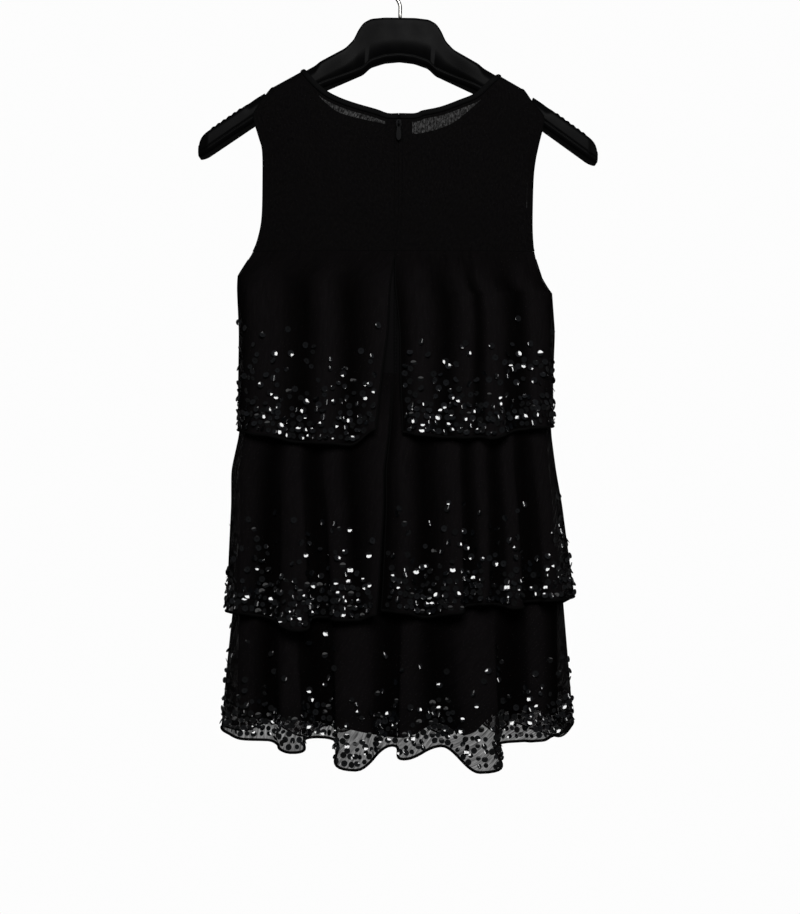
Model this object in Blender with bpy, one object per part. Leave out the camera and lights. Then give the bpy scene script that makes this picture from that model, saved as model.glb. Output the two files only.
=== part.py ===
"""A sleeveless a-line dress in three gathered tiers on a broad coat hanger, its back towards -Y.

The design is in millimetres, and each mesh is made in metres. The origin is where a rail
touches the inside of the hook, +Z is up and +X is on the right when the back is looked at.
"""
import functools
import math

import bmesh
import bpy
import numpy as np

MM = 0.001
BACK = -1
FRONT = 1

# Cloth
CLOTH = 1.0
SEAM_GAP = 0.3
# Outer face of whatever is sewn over the lining, measured out from the lining
OVER_LINING = 1.4

# Heights of the seams that run across the dress
LINING_TOP = -279.4
YOKE_SEAM = -327.4
SECOND_TIER_SEAM = -461.0
THIRD_TIER_SEAM = -654.5
LINING_HEM = -846.0

# The lining's level sections: height, centre, half width, half depth
BODY = np.array([
    (-905.0, -4.0, 178.0, 38.0),
    (-780.0, -4.0, 177.0, 37.0),
    (-700.0, -3.0, 175.5, 35.0),
    (-606.0, -5.0, 172.5, 33.0),
    (-568.0, -8.0, 171.3, 32.0),
    (-528.0, -6.0, 166.5, 31.0),
    (-470.0, -6.0, 168.0, 29.5),
    (-415.0, -4.5, 170.5, 28.0),
    (-365.0, -7.5, 171.3, 27.0),
    (-300.0, -4.5, 171.5, 24.0),
    (-216.0, -3.5, 170.0, 21.0),
    (-140.0, -3.5, 168.0, 20.0),
])
BODY_ROUNDNESS = 2.5

# Armhole edges of the back, from the shoulder down to the underarm: x, height
ARMHOLE_LEFT = ((-141.9, -147.8), (-149.6, -157.3), (-158.4, -170.5), (-161.7, -180.4),
                (-155.7, -202.4), (-152.1, -216.7), (-151.8, -249.7), (-152.9, -291.5),
                (-157.9, -315.7), (-163.9, -330.0), (-170.5, -339.9), (-180.0, -354.2))
ARMHOLE_RIGHT = ((134.2, -150.7), (143.0, -162.1), (151.8, -172.7), (156.8, -182.6),
                 (150.7, -211.2), (147.4, -227.7), (145.2, -249.7), (144.1, -297.0),
                 (145.2, -321.2), (148.0, -335.5), (155.0, -357.5), (164.0, -372.1))
FRONT_ARMHOLE_INSET = 5.0
LINING_ARMHOLE_INSET = 1.2

# Necklines between the two shoulder corners: x, height
BACK_NECK_LEFT = ((-97.9, -136.4), (-83.6, -149.9), (-69.3, -158.0), (-50.6, -165.0),
                  (-27.0, -171.9), (-14.3, -176.4), (-2.7, -176.4))
BACK_NECK_RIGHT = ((-2.3, -176.4), (15.4, -176.4), (23.1, -173.4), (42.9, -169.2),
                   (63.8, -161.5), (81.4, -154.0), (94.6, -141.9))
FRONT_NECK = ((-95.0, -145.5), (-85.0, -156.8), (-71.4, -168.3), (-55.8, -174.2), (-38.7, -178.2),
              (-19.0, -182.6), (11.2, -193.6), (29.7, -191.6), (43.9, -187.4), (58.0, -181.1),
              (72.3, -169.6), (86.6, -156.8), (97.0, -145.0))
NECK_CORNERS = (-106.7, 107.3)
CENTRE_BACK = ((-2.5, -176.4), (-2.8, -279.4), (-6.0, YOKE_SEAM))
BINDING_WIDTH = 5.5
BINDING_GAP = 0.5

# Coat hanger, in its own upright frame
HANGER_TILT = math.radians(0.88)
HANGER_PIXEL = 1.1
HANGER_TOP = 83.6
ARM_HALF_DEPTH = 18.5
HUMP_HALF_DEPTH = 11.0
DOME_SHARE = 0.8
DOME_LIMIT = 0.5
RIM = 6.0
SHOULDER_CLEARANCE = 0.8
HOOK_WIRE = 4.0
HOOK_RADIUS = 21.0
# Straight foot of the hook, and how far the wire runs on past its bow before it turns back
HOOK_SHANK = 12.0
HOOK_BEND = (4.5, 7.5)

# Zip
TAPE_WIDTH = 30.0
TAPE_END = -520.0
PULL_AXIS = (-2.5, -187.6)
PULL_LENGTH = 19.0
PULL_WIDTH = 5.6
SLIDER_WIDTH = 6.4
SLIDER_HEIGHT = 8.6


def clear_scene():
    """Empties the scene that the script starts in."""
    for item in list(bpy.data.objects):
        bpy.data.objects.remove(item, do_unlink=True)


def material(name, colour, roughness, metallic=0.0):
    """A Principled material with one colour."""
    made = bpy.data.materials.new(name)
    made.use_nodes = True
    shader = made.node_tree.nodes["Principled BSDF"]
    shader.inputs["Base Color"].default_value = (*colour, 1.0)
    shader.inputs["Roughness"].default_value = roughness
    shader.inputs["Metallic"].default_value = metallic
    return made


def add_mesh(name, points, faces, look):
    """One closed body from points in millimetres, its faces turned outwards."""
    shape = bmesh.new()
    verts = [shape.verts.new([value * MM for value in point]) for point in points]
    for face in faces:
        shape.faces.new([verts[index] for index in face])
    bmesh.ops.recalc_face_normals(shape, faces=shape.faces)
    mesh = bpy.data.meshes.new(name)
    shape.to_mesh(mesh)
    shape.free()
    mesh.shade_smooth()
    mesh.set_sharp_from_angle(angle=math.radians(40))
    item = bpy.data.objects.new(name, mesh)
    bpy.context.scene.collection.objects.link(item)
    mesh.materials.append(look)
    return item


# Curves

def spline(points, shares):
    """Points on a smooth curve through the given points, at shares of its length."""
    points = np.asarray(points, float)
    ends = np.vstack((2 * points[0] - points[1], points, 2 * points[-1] - points[-2]))
    dense = []
    for a, b, c, d in zip(ends[:-3], ends[1:-2], ends[2:-1], ends[3:]):
        for s in np.linspace(0.0, 1.0, 12, endpoint=False):
            dense.append(0.5 * (2 * b + (c - a) * s + (2 * a - 5 * b + 4 * c - d) * s ** 2
                                + (3 * b - a - 3 * c + d) * s ** 3))
    dense = np.array(dense + [points[-1]])
    length = np.concatenate(([0.0], np.cumsum(np.hypot(*np.diff(dense, axis=0).T))))
    places = np.asarray(shares) * length[-1]
    return np.column_stack([np.interp(places, length, dense[:, k]) for k in (0, 1)])


def ease(value):
    """A smooth step from 0 to 1."""
    value = min(max(value, 0.0), 1.0)
    return value * value * (3.0 - 2.0 * value)


# The body that the cloth hangs as

def body_size(height):
    """Centre, half width and half depth of the lining at a height."""
    return [float(np.interp(height, BODY[:, 0], BODY[:, column])) for column in (1, 2, 3)]


@functools.lru_cache(maxsize=None)
def quarter_section(height):
    """A quarter of the section at a height: share of its length, x, y and the normal's x and y."""
    _, width, depth = body_size(height)
    turn = np.linspace(0.0, math.pi / 2, 300)
    x = width * np.sin(turn) ** (2 / BODY_ROUNDNESS)
    y = depth * np.cos(turn) ** (2 / BODY_ROUNDNESS)
    length = np.concatenate(([0.0], np.cumsum(np.hypot(np.diff(x), np.diff(y)))))
    normal = np.array([(x / width) ** (BODY_ROUNDNESS - 1) / width,
                       (y / depth) ** (BODY_ROUNDNESS - 1) / depth])
    normal = normal / np.hypot(*normal)
    return length / length[-1], x, y, normal[0], normal[1]


def on_body(side, across, height, out=0.0):
    """A point on the front or back: across runs from -1 at the left side seam to 1 at the right."""
    shares, x, y, normal_x, normal_y = quarter_section(round(height, 2))
    share = min(abs(across), 1.0)
    x, y, normal_x, normal_y = (np.interp(share, shares, column)
                                for column in (x, y, normal_x, normal_y))
    centre = body_size(height)[0]
    reach = math.copysign(x + normal_x * out, across)
    return centre + reach, side * max(y + normal_y * out, SEAM_GAP / 2), height


def across_at(x, height, out):
    """The share of the half girth at which the section reaches x."""
    shares, reach, _, normal_x, _ = quarter_section(round(height, 2))
    return float(np.interp(abs(x - body_size(height)[0]), reach + normal_x * out, shares))


def body_depth(x, height, out):
    """How far from the middle plane the section is at x."""
    _, reach, depth, normal_x, normal_y = quarter_section(round(height, 2))
    return float(np.interp(abs(x - body_size(height)[0]), reach + normal_x * out, depth + normal_y * out))


@functools.lru_cache(maxsize=None)
def side_limit(side, hand, height, inset):
    """How far across a panel reaches at a height: to the armhole's edge, or 1 below the underarm."""
    edge = np.array(ARMHOLE_LEFT if hand < 0 else ARMHOLE_RIGHT)
    underarm = edge[-1, 1]
    if height <= underarm:
        return 1.0
    x = np.interp(-height, -edge[:, 1], edge[:, 0])
    if side == FRONT:
        inset += FRONT_ARMHOLE_INSET
    x -= hand * inset * ease((height - underarm) / 30.0)
    return across_at(x, height, OVER_LINING)


def reach_across(side, across, height, inset=0.0):
    """Draws a share of the girth in to where the armhole's edge cuts the panel."""
    hand = -1 if across < 0 else 1
    return across * side_limit(side, hand, round(height, 2), inset)


# Cloth walls

def wall(name, side, outer, look, lift=0.0):
    """A cloth wall from rows and columns of outer points, which run down and to +X, moved out by lift."""
    outer = np.asarray(outer, float)
    along = np.gradient(outer, axis=1)
    down = np.gradient(outer, axis=0)
    normal = side * np.cross(along, down)
    normal /= np.linalg.norm(normal, axis=2, keepdims=True)
    inner = outer + normal * (lift - CLOTH)
    outer = outer + normal * lift
    for layer in (outer, inner):
        layer[:, :, 1] = side * np.maximum(side * layer[:, :, 1], SEAM_GAP / 2)
    rows, columns = outer.shape[:2]
    points = np.concatenate((outer.reshape(-1, 3), inner.reshape(-1, 3)))
    back = rows * columns

    def at(row, column, layer=0):
        return row * columns + column + layer * back

    faces = []
    for row in range(rows - 1):
        for column in range(columns - 1):
            for layer in (0, 1):
                corner, opposite = at(row, column, layer), at(row + 1, column + 1, layer)
                faces.append((corner, at(row, column + 1, layer), opposite))
                faces.append((corner, opposite, at(row + 1, column, layer)))
    rim = [(0, c) for c in range(columns)] + [(r, columns - 1) for r in range(1, rows)]
    rim += [(rows - 1, c) for c in range(columns - 2, -1, -1)] + [(r, 0) for r in range(rows - 2, 0, -1)]
    for start, end in zip(rim, rim[1:] + rim[:1]):
        faces.append((at(*start), at(*end), at(*end, 1), at(*start, 1)))
    return add_mesh(name, points.tolist(), faces, look)


# Lining

LINING_ROWS = (LINING_TOP, -303.0, -327.4, -345.0, -356.0, -373.0, -415.0,
               SECOND_TIER_SEAM, -528.0, -600.0, THIRD_TIER_SEAM, -740.0, LINING_HEM)
LINING_COLUMNS = 9


def lining_panel(name, side, start, end, look):
    """A lining panel from one share of the girth to another, closer set towards the side seams."""
    shares = [math.sin(math.pi / 2 * k / LINING_COLUMNS) for k in range(LINING_COLUMNS + 1)]
    halves = []
    if start < -0.5:
        halves += [-share for share in reversed(shares)]
    if end > 0.5:
        halves += shares if not halves else shares[1:]
    gap = SEAM_GAP / 2 / 180.0
    if start > -0.5:
        halves[0] = gap
    if end < 0.5:
        halves[-1] = -gap
    grid = [[on_body(side, reach_across(side, share, height, LINING_ARMHOLE_INSET), height)
             for share in halves] for height in LINING_ROWS]
    return wall(name, side, grid, look)


# Tiers
# Each row is a crest or a trough of the gathers, from the left: its place at the seam and at
# the hem in hundredths of the half girth, how far it stands out at half height and at the hem,
# how far the flank on its right rolls over (above 1 it overhangs), and the hem's height there.

SIDE_FIRST = {"left": (-100, -100, 4.5, 8.0, 0.42, -523.0), "right": (100, 100, 4.5, 8.0, 0.42, -519.0)}
FIRST_TIER_LEFT = (
    SIDE_FIRST["left"],
    (-82.0, -81.0, 7.0, 16.0, 0.42, -529.0),
    (-54.0, -57.5, 4.0, 11.0, 0.42, -537.0),
    (-42.4, -43.0, 7.0, 18.0, 0.42, -538.0),
    (-28.3, -27.0, 5.0, 13.0, 0.42, -540.0),
    (-0.5, -12.1, 5.5, 15.0, 0.42, -523.0),
)
FIRST_TIER_RIGHT = (
    (-0.1, 4.6, 3.5, 11.0, 0.42, -526.0),
    (14.4, 16.3, 6.0, 15.0, 0.42, -529.5),
    (30.7, 31.1, 4.5, 12.0, 0.42, -531.5),
    (44.0, 43.4, 6.5, 16.0, 0.60, -532.0),
    (50.2, 50.6, 5.0, 13.0, 0.60, -531.0),
    (56.0, 57.5, 8.5, 20.0, 0.90, -533.0),
    (73.3, 76.9, 2.6, 10.5, 0.80, -523.0),
    (84.2, 86.4, 6.5, 16.0, 0.42, -521.0),
    SIDE_FIRST["right"],
)
SIDE_SECOND = {"left": (-100, -100, 9.5, 14.0, 0.42, -722.5), "right": (100, 100, 9.0, 19.0, 0.42, -707.0)}
SECOND_TIER_LEFT = (
    SIDE_SECOND["left"],
    (-89.0, -88.3, 12.5, 20.0, 0.42, -723.5),
    (-71.0, -78.6, 5.5, 10.0, 0.80, -726.5),
    (-63.2, -56.2, 12.0, 28.0, 1.15, -740.5),
    (-53.0, -44.1, 4.5, 10.0, 1.00, -727.0),
    (-39.7, -31.7, 11.0, 20.0, 0.42, -729.5),
    (-28.5, -23.1, 9.0, 17.0, 0.42, -729.5),
    (-1.5, -12.4, 9.0, 22.0, 0.42, -723.5),
)
SECOND_TIER_RIGHT = (
    (-1.0, -9.6, 7.0, 13.0, 0.42, -719.5),
    (5.9, 3.5, 10.5, 20.0, 0.42, -721.5),
    (18.5, 15.1, 6.0, 11.0, 0.60, -727.0),
    (38.0, 32.7, 11.0, 24.0, 1.05, -722.0),
    (44.0, 41.5, 8.0, 15.0, 0.60, -713.5),
    (53.0, 49.2, 12.0, 22.0, 0.70, -712.0),
    (61.8, 55.9, 7.0, 13.0, 0.70, -713.0),
    (69.0, 64.8, 12.5, 24.0, 1.15, -717.0),
    (78.5, 75.7, 4.5, 10.0, 0.90, -710.5),
    (90.0, 87.0, 11.5, 22.0, 0.42, -709.0),
    SIDE_SECOND["right"],
)
SIDE_THIRD = {"left": (-100, -100, 9.0, 17.0, 0.42, -851.5), "right": (100, 100, 9.5, 17.0, 0.42, -846.0)}
THIRD_TIER_BACK = (
    SIDE_THIRD["left"],
    (-89.0, -84.5, 11.5, 20.0, 0.42, -860.0),
    (-76.0, -73.2, 5.0, 8.0, 0.80, -861.5),
    (-66.4, -58.6, 14.0, 30.0, 1.30, -871.5),
    (-53.9, -44.9, 3.5, 6.0, 1.20, -857.5),
    (-24.2, -22.8, 14.0, 34.0, 0.80, -889.0),
    (-3.6, -3.1, 3.5, 8.0, 1.10, -866.0),
    (8.5, 3.6, 11.0, 24.0, 0.60, -878.5),
    (14.0, 24.9, 7.0, 12.0, 0.60, -866.0),
    (46.5, 44.9, 14.5, 36.0, 1.35, -891.5),
    (66.3, 66.8, 3.5, 6.0, 0.80, -863.0),
    (81.0, 79.4, 11.0, 20.0, 0.42, -861.0),
    (91.0, 88.5, 8.5, 13.0, 0.42, -857.0),
    SIDE_THIRD["right"],
)
FLANK_SOFT = 0.42
SOFT_STEPS = 3
ROLLED_STEPS = 5
SIDE_STEPS = 7
FIRST_TIER_LEVELS = (0.0, 0.045, 0.09, 0.135, 0.22, 0.4, 0.6, 0.8, 1.0)
LOWER_TIER_LEVELS = (0.0, 0.12, 0.25, 0.4, 0.66, 1.0)


def front_folds(sides, folds, crest, trough, hem, drop, phase):
    """Rows for a hidden front: even gathers, made uneven in place, depth, roll and length."""
    rows = [sides["left"]]
    last = 2 * folds
    for k in range(1, last):
        place = -100 + 200 * (k + 0.3 * math.sin(1.9 * k + phase)) / last
        rises = k % 2 == 1
        swing = 1 + 0.25 * math.sin(2.3 * k + phase)
        out = (crest if rises else trough) * swing
        half_way = out * (0.48 if rises else 0.62)
        roll = max(FLANK_SOFT, 0.6 + 0.45 * math.sin(2.7 * k + phase))
        low = hem - (drop if rises else 0.0) * swing + 3.0 * math.sin(1.3 * k)
        rows.append((place, place, half_way, out, roll, low))
    return rows + [sides["right"]]


def fold_columns(rows, level):
    """Across, out and hem height of every column of a tier at a level from 0 at its seam to 1."""
    columns = []
    for left, right in zip(rows, rows[1:]):
        (across_a, out_a), (across_b, out_b) = (fold_place(row, level) for row in (left, right))
        reach = (FLANK_SOFT + (left[4] - FLANK_SOFT) * level) * (across_b - across_a)
        at_side = abs(left[0]) == 100 or abs(right[0]) == 100
        steps = SIDE_STEPS if at_side else ROLLED_STEPS if left[4] > 0.5 else SOFT_STEPS
        for step in range(steps):
            s = step / steps
            weights = ((1 - s) ** 3, 3 * s * (1 - s) ** 2, 3 * s ** 2 * (1 - s), s ** 3)
            across = sum(w * v for w, v in zip(weights, (across_a, across_a + reach,
                                                         across_b - reach, across_b)))
            columns.append((across, out_a + (out_b - out_a) * ease(s),
                            left[5] + (right[5] - left[5]) * ease(s)))
    columns.append((*fold_place(rows[-1], level), rows[-1][5]))
    return columns


def fold_place(row, level):
    """Where a crest or trough lies at a level, and how far out."""
    seam, hem, half_way, full = row[:4]
    start = OVER_LINING + 0.04 * full
    out = (start * (1 - level) * (1 - 2 * level) + half_way * 4 * level * (1 - level)
           + full * level * (2 * level - 1))
    return seam + (hem - seam) * level, max(out, start)


def tier_panel(name, side, rows, seam, levels, look):
    """A tier's panel, gathered at its seam and opening into folds towards its hem."""
    grid = []
    for level in levels:
        line = []
        for across, out, hem in fold_columns(rows, level):
            height = seam - SEAM_GAP / 2 + (hem - seam) * level
            share = reach_across(side, across / 100, height)
            line.append(on_body(side, share, height, out))
        grid.append(line)
    return wall(name, side, grid, look)


# Hanger

# Half outline of the hanger in pixels of 1.1 mm, from its middle out: across, top, bottom
HANGER_OUTLINE = (
    (0.0, -14.0, 28.6), (15.0, -14.0, 30.2), (29.0, -12.5, 34.9), (36.5, -8.5, 42.2),
    (42.5, 0.0, 44.8), (45.5, 8.0, 46.2), (54.3, 17.3, 49.9), (75.0, 29.3, 58.3),
    (93.3, 39.7, 67.6), (124.0, 57.0, 83.4), (129.5, 61.0, 86.3), (132.4, 70.0, 87.8),
    (135.0, 66.2, 89.2), (143.3, 71.5, 93.5), (156.0, 79.6, 102.9),
)
ARM_END = ((191.0, 104.6, 128.6), (196.0, 109.5, 129.8), (198.6, 115.0, 129.0), (199.4, 119.5, 127.0))
# Low teeth that keep a shoulder from slipping: where they start and stop, and the arm's edges there
TEETH = 6
TEETH_SPAN = (158.0, 188.0)
TEETH_HEIGHT = 0.9
TEETH_TOP = 80.9
TEETH_BOTTOM = 104.4
# The hump deepens into the arms, and the arms thin at their round ends: from where, and over how far
ARM_DEEPENS = (45.0, 50.0)
END_THINS = (208.0, 16.0)
END_THINNING = 0.35
RIM_SLOPE = 3.5


def hanger_sections():
    """Half sections with the teeth between the arm's plain part and its round end."""
    sections = list(HANGER_OUTLINE)
    first, last = TEETH_SPAN
    pitch = (last - first) / TEETH
    for k in range(TEETH):
        for place, lift in ((0.0, 0.0), (0.55, TEETH_HEIGHT)):
            across = first + pitch * (k + place)
            share = (across - first) / (ARM_END[0][0] - first)
            top = TEETH_TOP + (ARM_END[0][1] - TEETH_TOP) * share - lift
            bottom = TEETH_BOTTOM + (ARM_END[0][2] - TEETH_BOTTOM) * share
            sections.append((across, top, bottom))
    return sections + list(ARM_END)


def hanger_to_world(across, y, down):
    """Turns the hanger's own place, across and down from the rail in mm, into the tilted one."""
    cos, sin = math.cos(HANGER_TILT), math.sin(HANGER_TILT)
    return across * cos - down * sin, y, -(across * sin + down * cos)


def arm_half_depth(across):
    """The hanger's half depth at a distance from its middle in mm."""
    start, over = ARM_DEEPENS
    return HUMP_HALF_DEPTH + (ARM_HALF_DEPTH - HUMP_HALF_DEPTH) * ease((abs(across) - start) / over)


def hanger_body(look):
    """Lofts the hanger: a rounded top, flat faces, and a narrower rim along the bottom edge."""
    half = hanger_sections()
    outline = [(-a, t, b) for a, t, b in reversed(half[1:])] + half
    turns = [math.radians(angle) for angle in (-90, -60, -30, 0, 30, 60, 90)]
    points = []
    for across, top, bottom in outline:
        across, top, bottom = (value * HANGER_PIXEL for value in (across, top, bottom))
        top, bottom = top + HANGER_TOP, bottom + HANGER_TOP
        depth = arm_half_depth(across)
        start, over = END_THINS
        depth *= 1 - END_THINNING * ease((abs(across) - start) / over)
        dome = min(DOME_SHARE * depth, DOME_LIMIT * (bottom - top))
        ring = [(depth * math.sin(turn), top + dome * (1 - math.cos(turn))) for turn in turns]
        ring += [(depth, bottom - RIM), (depth - RIM_SLOPE, bottom),
                 (-depth + RIM_SLOPE, bottom), (-depth, bottom - RIM)]
        points += [hanger_to_world(across, y, down) for y, down in ring]
    size = len(turns) + 4
    faces = []
    for section in range(len(outline) - 1):
        for k in range(size):
            a, b = section * size + k, section * size + (k + 1) % size
            faces.append((a, b, b + size, a + size))
    faces.append(tuple(range(size)))
    faces.append(tuple(range(len(points) - size, len(points))))
    return add_mesh("hanger_body", points, faces, look)


def hanger_hook(look):
    """A round wire hook that stands on the hanger's middle."""
    drop = HOOK_RADIUS - HOOK_WIRE / 2
    path = [(HOOK_RADIUS * math.cos(math.radians(a)), drop - HOOK_RADIUS * math.sin(math.radians(a)))
            for a in range(-40, 211, 18)]
    foot = HANGER_TOP + HANGER_OUTLINE[0][1] * HANGER_PIXEL - SEAM_GAP
    start = path[-1]
    bend = ((start[0] + HOOK_BEND[0], start[1] + HOOK_BEND[1]), (0.0, foot - HOOK_SHANK - 10.0),
            (0.0, foot - HOOK_SHANK))
    for s in (0.25, 0.5, 0.75, 1.0):
        weights = ((1 - s) ** 3, 3 * s * (1 - s) ** 2, 3 * s ** 2 * (1 - s), s ** 3)
        path.append(tuple(sum(w * p[k] for w, p in zip(weights, (start, *bend))) for k in (0, 1)))
    path.append((0.0, foot))
    curve = bpy.data.curves.new("hanger_hook", "CURVE")
    curve.dimensions = "3D"
    curve.bevel_depth = HOOK_WIRE / 2 * MM
    curve.bevel_resolution = 2
    curve.use_fill_caps = True
    line = curve.splines.new("POLY")
    line.points.add(len(path) - 1)
    for point, (across, down) in zip(line.points, path):
        point.co = (*[value * MM for value in hanger_to_world(across, 0.0, down)], 1.0)
    curve.materials.append(look)
    item = bpy.data.objects.new("hanger_hook", curve)
    bpy.context.scene.collection.objects.link(item)
    return item


# Yoke

def shoulder_top(x, lift):
    """Height of the cloth's top line over the hanger's arms, extended straight to the middle."""
    across = x / HANGER_PIXEL
    down = 39.7 + (abs(across + 1.5) - 93.3) * (57.0 - 39.7) / (124.0 - 93.3)
    return hanger_to_world(x, 0.0, HANGER_TOP + down * HANGER_PIXEL)[2] + lift


def yoke_depth(x, height, out):
    """Distance of the yoke from the middle plane: over the arm, then easing onto the body."""
    lift = SHOULDER_CLEARANCE + CLOTH + (out - OVER_LINING)
    below = max(shoulder_top(x, lift) - height, 0.0)
    wide = ARM_HALF_DEPTH + lift
    dome = DOME_SHARE * ARM_HALF_DEPTH + lift
    over_arm = wide * math.sqrt(1 - (1 - min(below / dome, 1.0)) ** 2)
    settled = ease((below - 20.0) / 90.0)
    return max(over_arm * (1 - settled) + body_depth(x, height, out) * settled, SEAM_GAP / 2)


YOKE_LEVELS = (0.0, 0.007, 0.027, 0.056, 0.09, 0.16, 0.32, 0.53, 0.76, 1.0)
SHOULDER_STEPS = 4
NECK_STEPS = 7
# Distances along the neckline of the points where it bends over the arm
NECK_OVER_ARM = (0.0, 1.2, 4.5, 9.5, 15.5)


def armhole_edge(side, hand):
    """The yoke's armhole edge from the shoulder to its seam."""
    edge = [point for point in (ARMHOLE_LEFT if hand < 0 else ARMHOLE_RIGHT) if point[1] > YOKE_SEAM + 4]
    inset = FRONT_ARMHOLE_INSET if side == FRONT else 0.0
    edge = [(x - hand * inset * ease((edge[0][1] - z) / 25.0), z) for x, z in edge]
    edge[0] = (edge[0][0], shoulder_top(edge[0][0], SHOULDER_CLEARANCE + CLOTH))
    foot = YOKE_SEAM + SEAM_GAP / 2
    hand_limit = side_limit(side, hand, foot, 0.0)
    edge.append((on_body(side, hand * hand_limit, foot, OVER_LINING)[0], foot))
    return spline(edge, YOKE_LEVELS)


def shoulder_line(start, end):
    """The top line over one arm."""
    return [(x, shoulder_top(x, SHOULDER_CLEARANCE + CLOTH))
            for x in np.linspace(start, end, SHOULDER_STEPS + 1)]


def neck_curve(points, hands):
    """A neckline, carried up to the shoulder corners on the hands named and close set over the arms."""
    points = list(points)
    for hand in hands:
        x = NECK_CORNERS[0 if hand < 0 else 1]
        corner = (x, shoulder_top(x, SHOULDER_CLEARANCE + CLOTH))
        points = [corner] + points if hand < 0 else points + [corner]
    length = sum(math.dist(a, b) for a, b in zip(points, points[1:]))
    near = [distance / length for distance in NECK_OVER_ARM]
    first = near if -1 in hands else [0.0]
    last = [1 - share for share in reversed(near)] if 1 in hands else [1.0]
    between = np.linspace(first[-1], last[0], NECK_STEPS * len(hands) + 1)
    return spline(points, first[:-1] + list(between) + last[1:])


def yoke_grid(side, left, right, top):
    """Blends the four edges of a yoke panel into its outer points."""
    top = np.array(top)
    foot = YOKE_SEAM + SEAM_GAP / 2
    grid = []
    for level, start, end in zip(YOKE_LEVELS, left, right):
        line = []
        for point in top:
            share = (point[0] - top[0][0]) / (top[-1][0] - top[0][0])
            base = np.array((left[-1][0] + (right[-1][0] - left[-1][0]) * share, foot))
            flat = (1 - level) * point + level * base + (1 - share) * start + share * end
            flat -= ((1 - share) * (1 - level) * top[0] + share * (1 - level) * top[-1]
                     + (1 - share) * level * left[-1] + share * level * right[-1])
            x, height = flat
            line.append((x, side * yoke_depth(x, height, OVER_LINING), height))
        grid.append(line)
    return grid


def yoke_panels(look):
    """The front yoke and the two halves of the back one, which meet along the zip."""
    corners = [(ARMHOLE_LEFT[0][0], NECK_CORNERS[0]), (NECK_CORNERS[1], ARMHOLE_RIGHT[0][0])]
    shoulders = [shoulder_line(*pair) for pair in corners]
    neck = neck_curve(FRONT_NECK, (-1, 1))
    top = shoulders[0][:-1] + [tuple(point) for point in neck] + shoulders[1][1:]
    wall("yoke_front", FRONT, yoke_grid(FRONT, armhole_edge(FRONT, -1), armhole_edge(FRONT, 1), top), look)
    middle = spline(CENTRE_BACK, YOKE_LEVELS)
    middle[-1][1] = YOKE_SEAM + SEAM_GAP / 2
    gap = np.array((SEAM_GAP / 2, 0.0))
    neck = neck_curve(BACK_NECK_LEFT, (-1,))
    top = shoulders[0][:-1] + [tuple(point) for point in neck]
    wall("yoke_back_left", BACK, yoke_grid(BACK, armhole_edge(BACK, -1), middle - gap, top), look)
    neck = neck_curve(BACK_NECK_RIGHT, (1,))
    top = [tuple(point) for point in neck] + shoulders[1][1:]
    wall("yoke_back_right", BACK, yoke_grid(BACK, middle + gap, armhole_edge(BACK, 1), top), look)


def neck_binding(name, side, points, hands, look):
    """A narrow band along a neckline, made from the yoke's points moved out."""
    curve = neck_curve(points, hands)
    along = np.gradient(curve, axis=0)
    inward = np.column_stack((along[:, 1], -along[:, 0]))
    inward /= np.linalg.norm(inward, axis=1, keepdims=True)
    if -1 not in hands:
        inward[0] = (0.0, -1.0)
    if 1 not in hands:
        inward[-1] = (0.0, -1.0)
    grid = []
    for share in (0.0, 0.5, 1.0):
        line = curve + inward * BINDING_WIDTH * share
        grid.append([(x, side * yoke_depth(x, height, OVER_LINING), height) for x, height in line])
    return wall(name, side, grid, look, BINDING_GAP + CLOTH)


# Zip

def zip_tape(look):
    """The tape behind the centre-back edges, inside the lining."""
    top = BACK_NECK_LEFT[-1][1] - 0.5
    heights = list(np.linspace(top, LINING_TOP, 5)) + list(np.linspace(LINING_TOP, TAPE_END, 9))[1:]
    inside = -CLOTH - SEAM_GAP - 0.2
    grid = []
    for height in heights:
        middle = np.interp(-height, [-z for _, z in CENTRE_BACK], [x for x, _ in CENTRE_BACK])
        grid.append([(middle + shift, -yoke_depth(middle + shift, height, inside), height)
                     for shift in np.linspace(-TAPE_WIDTH / 2, TAPE_WIDTH / 2, 5)])
    return wall("zip_tape", BACK, grid, look)


def box_points(low, high):
    """The eight corners of a box and its six faces."""
    points = [(x, y, z) for x in (low[0], high[0]) for y in (low[1], high[1]) for z in (low[2], high[2])]
    faces = [(0, 1, 3, 2), (4, 6, 7, 5), (0, 4, 5, 1), (2, 3, 7, 6), (0, 2, 6, 4), (1, 5, 7, 3)]
    return points, faces


def zip_face():
    """How far out the yoke's face is at the pull's axis."""
    return yoke_depth(PULL_AXIS[0], PULL_AXIS[1], OVER_LINING)


SLIDER_PLATE = 1.6
BAIL_WIDTH = 1.8
BAIL_HEIGHT = 4.6
BAIL_HALF_LENGTH = 3.4
BAIL_THICKNESS = 1.2
# From the plate's face to the middle of the pull's bar
BAR_STANDS_OFF = 1.9
PULL_BAR = 1.4
PULL_WINDOW = 4.2
PULL_PLAY = 0.35
PULL_CHEEK = 0.8
PULL_THICKNESS = 1.1
# The tab below its bar: drop, half width
PULL_OUTLINE = ((5.0, 2.05), (7.5, 2.3), (10.5, 2.7), (14.0, PULL_WIDTH / 2), (16.5, 2.5), (18.2, 1.5),
                (PULL_LENGTH, 0.5))


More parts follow.
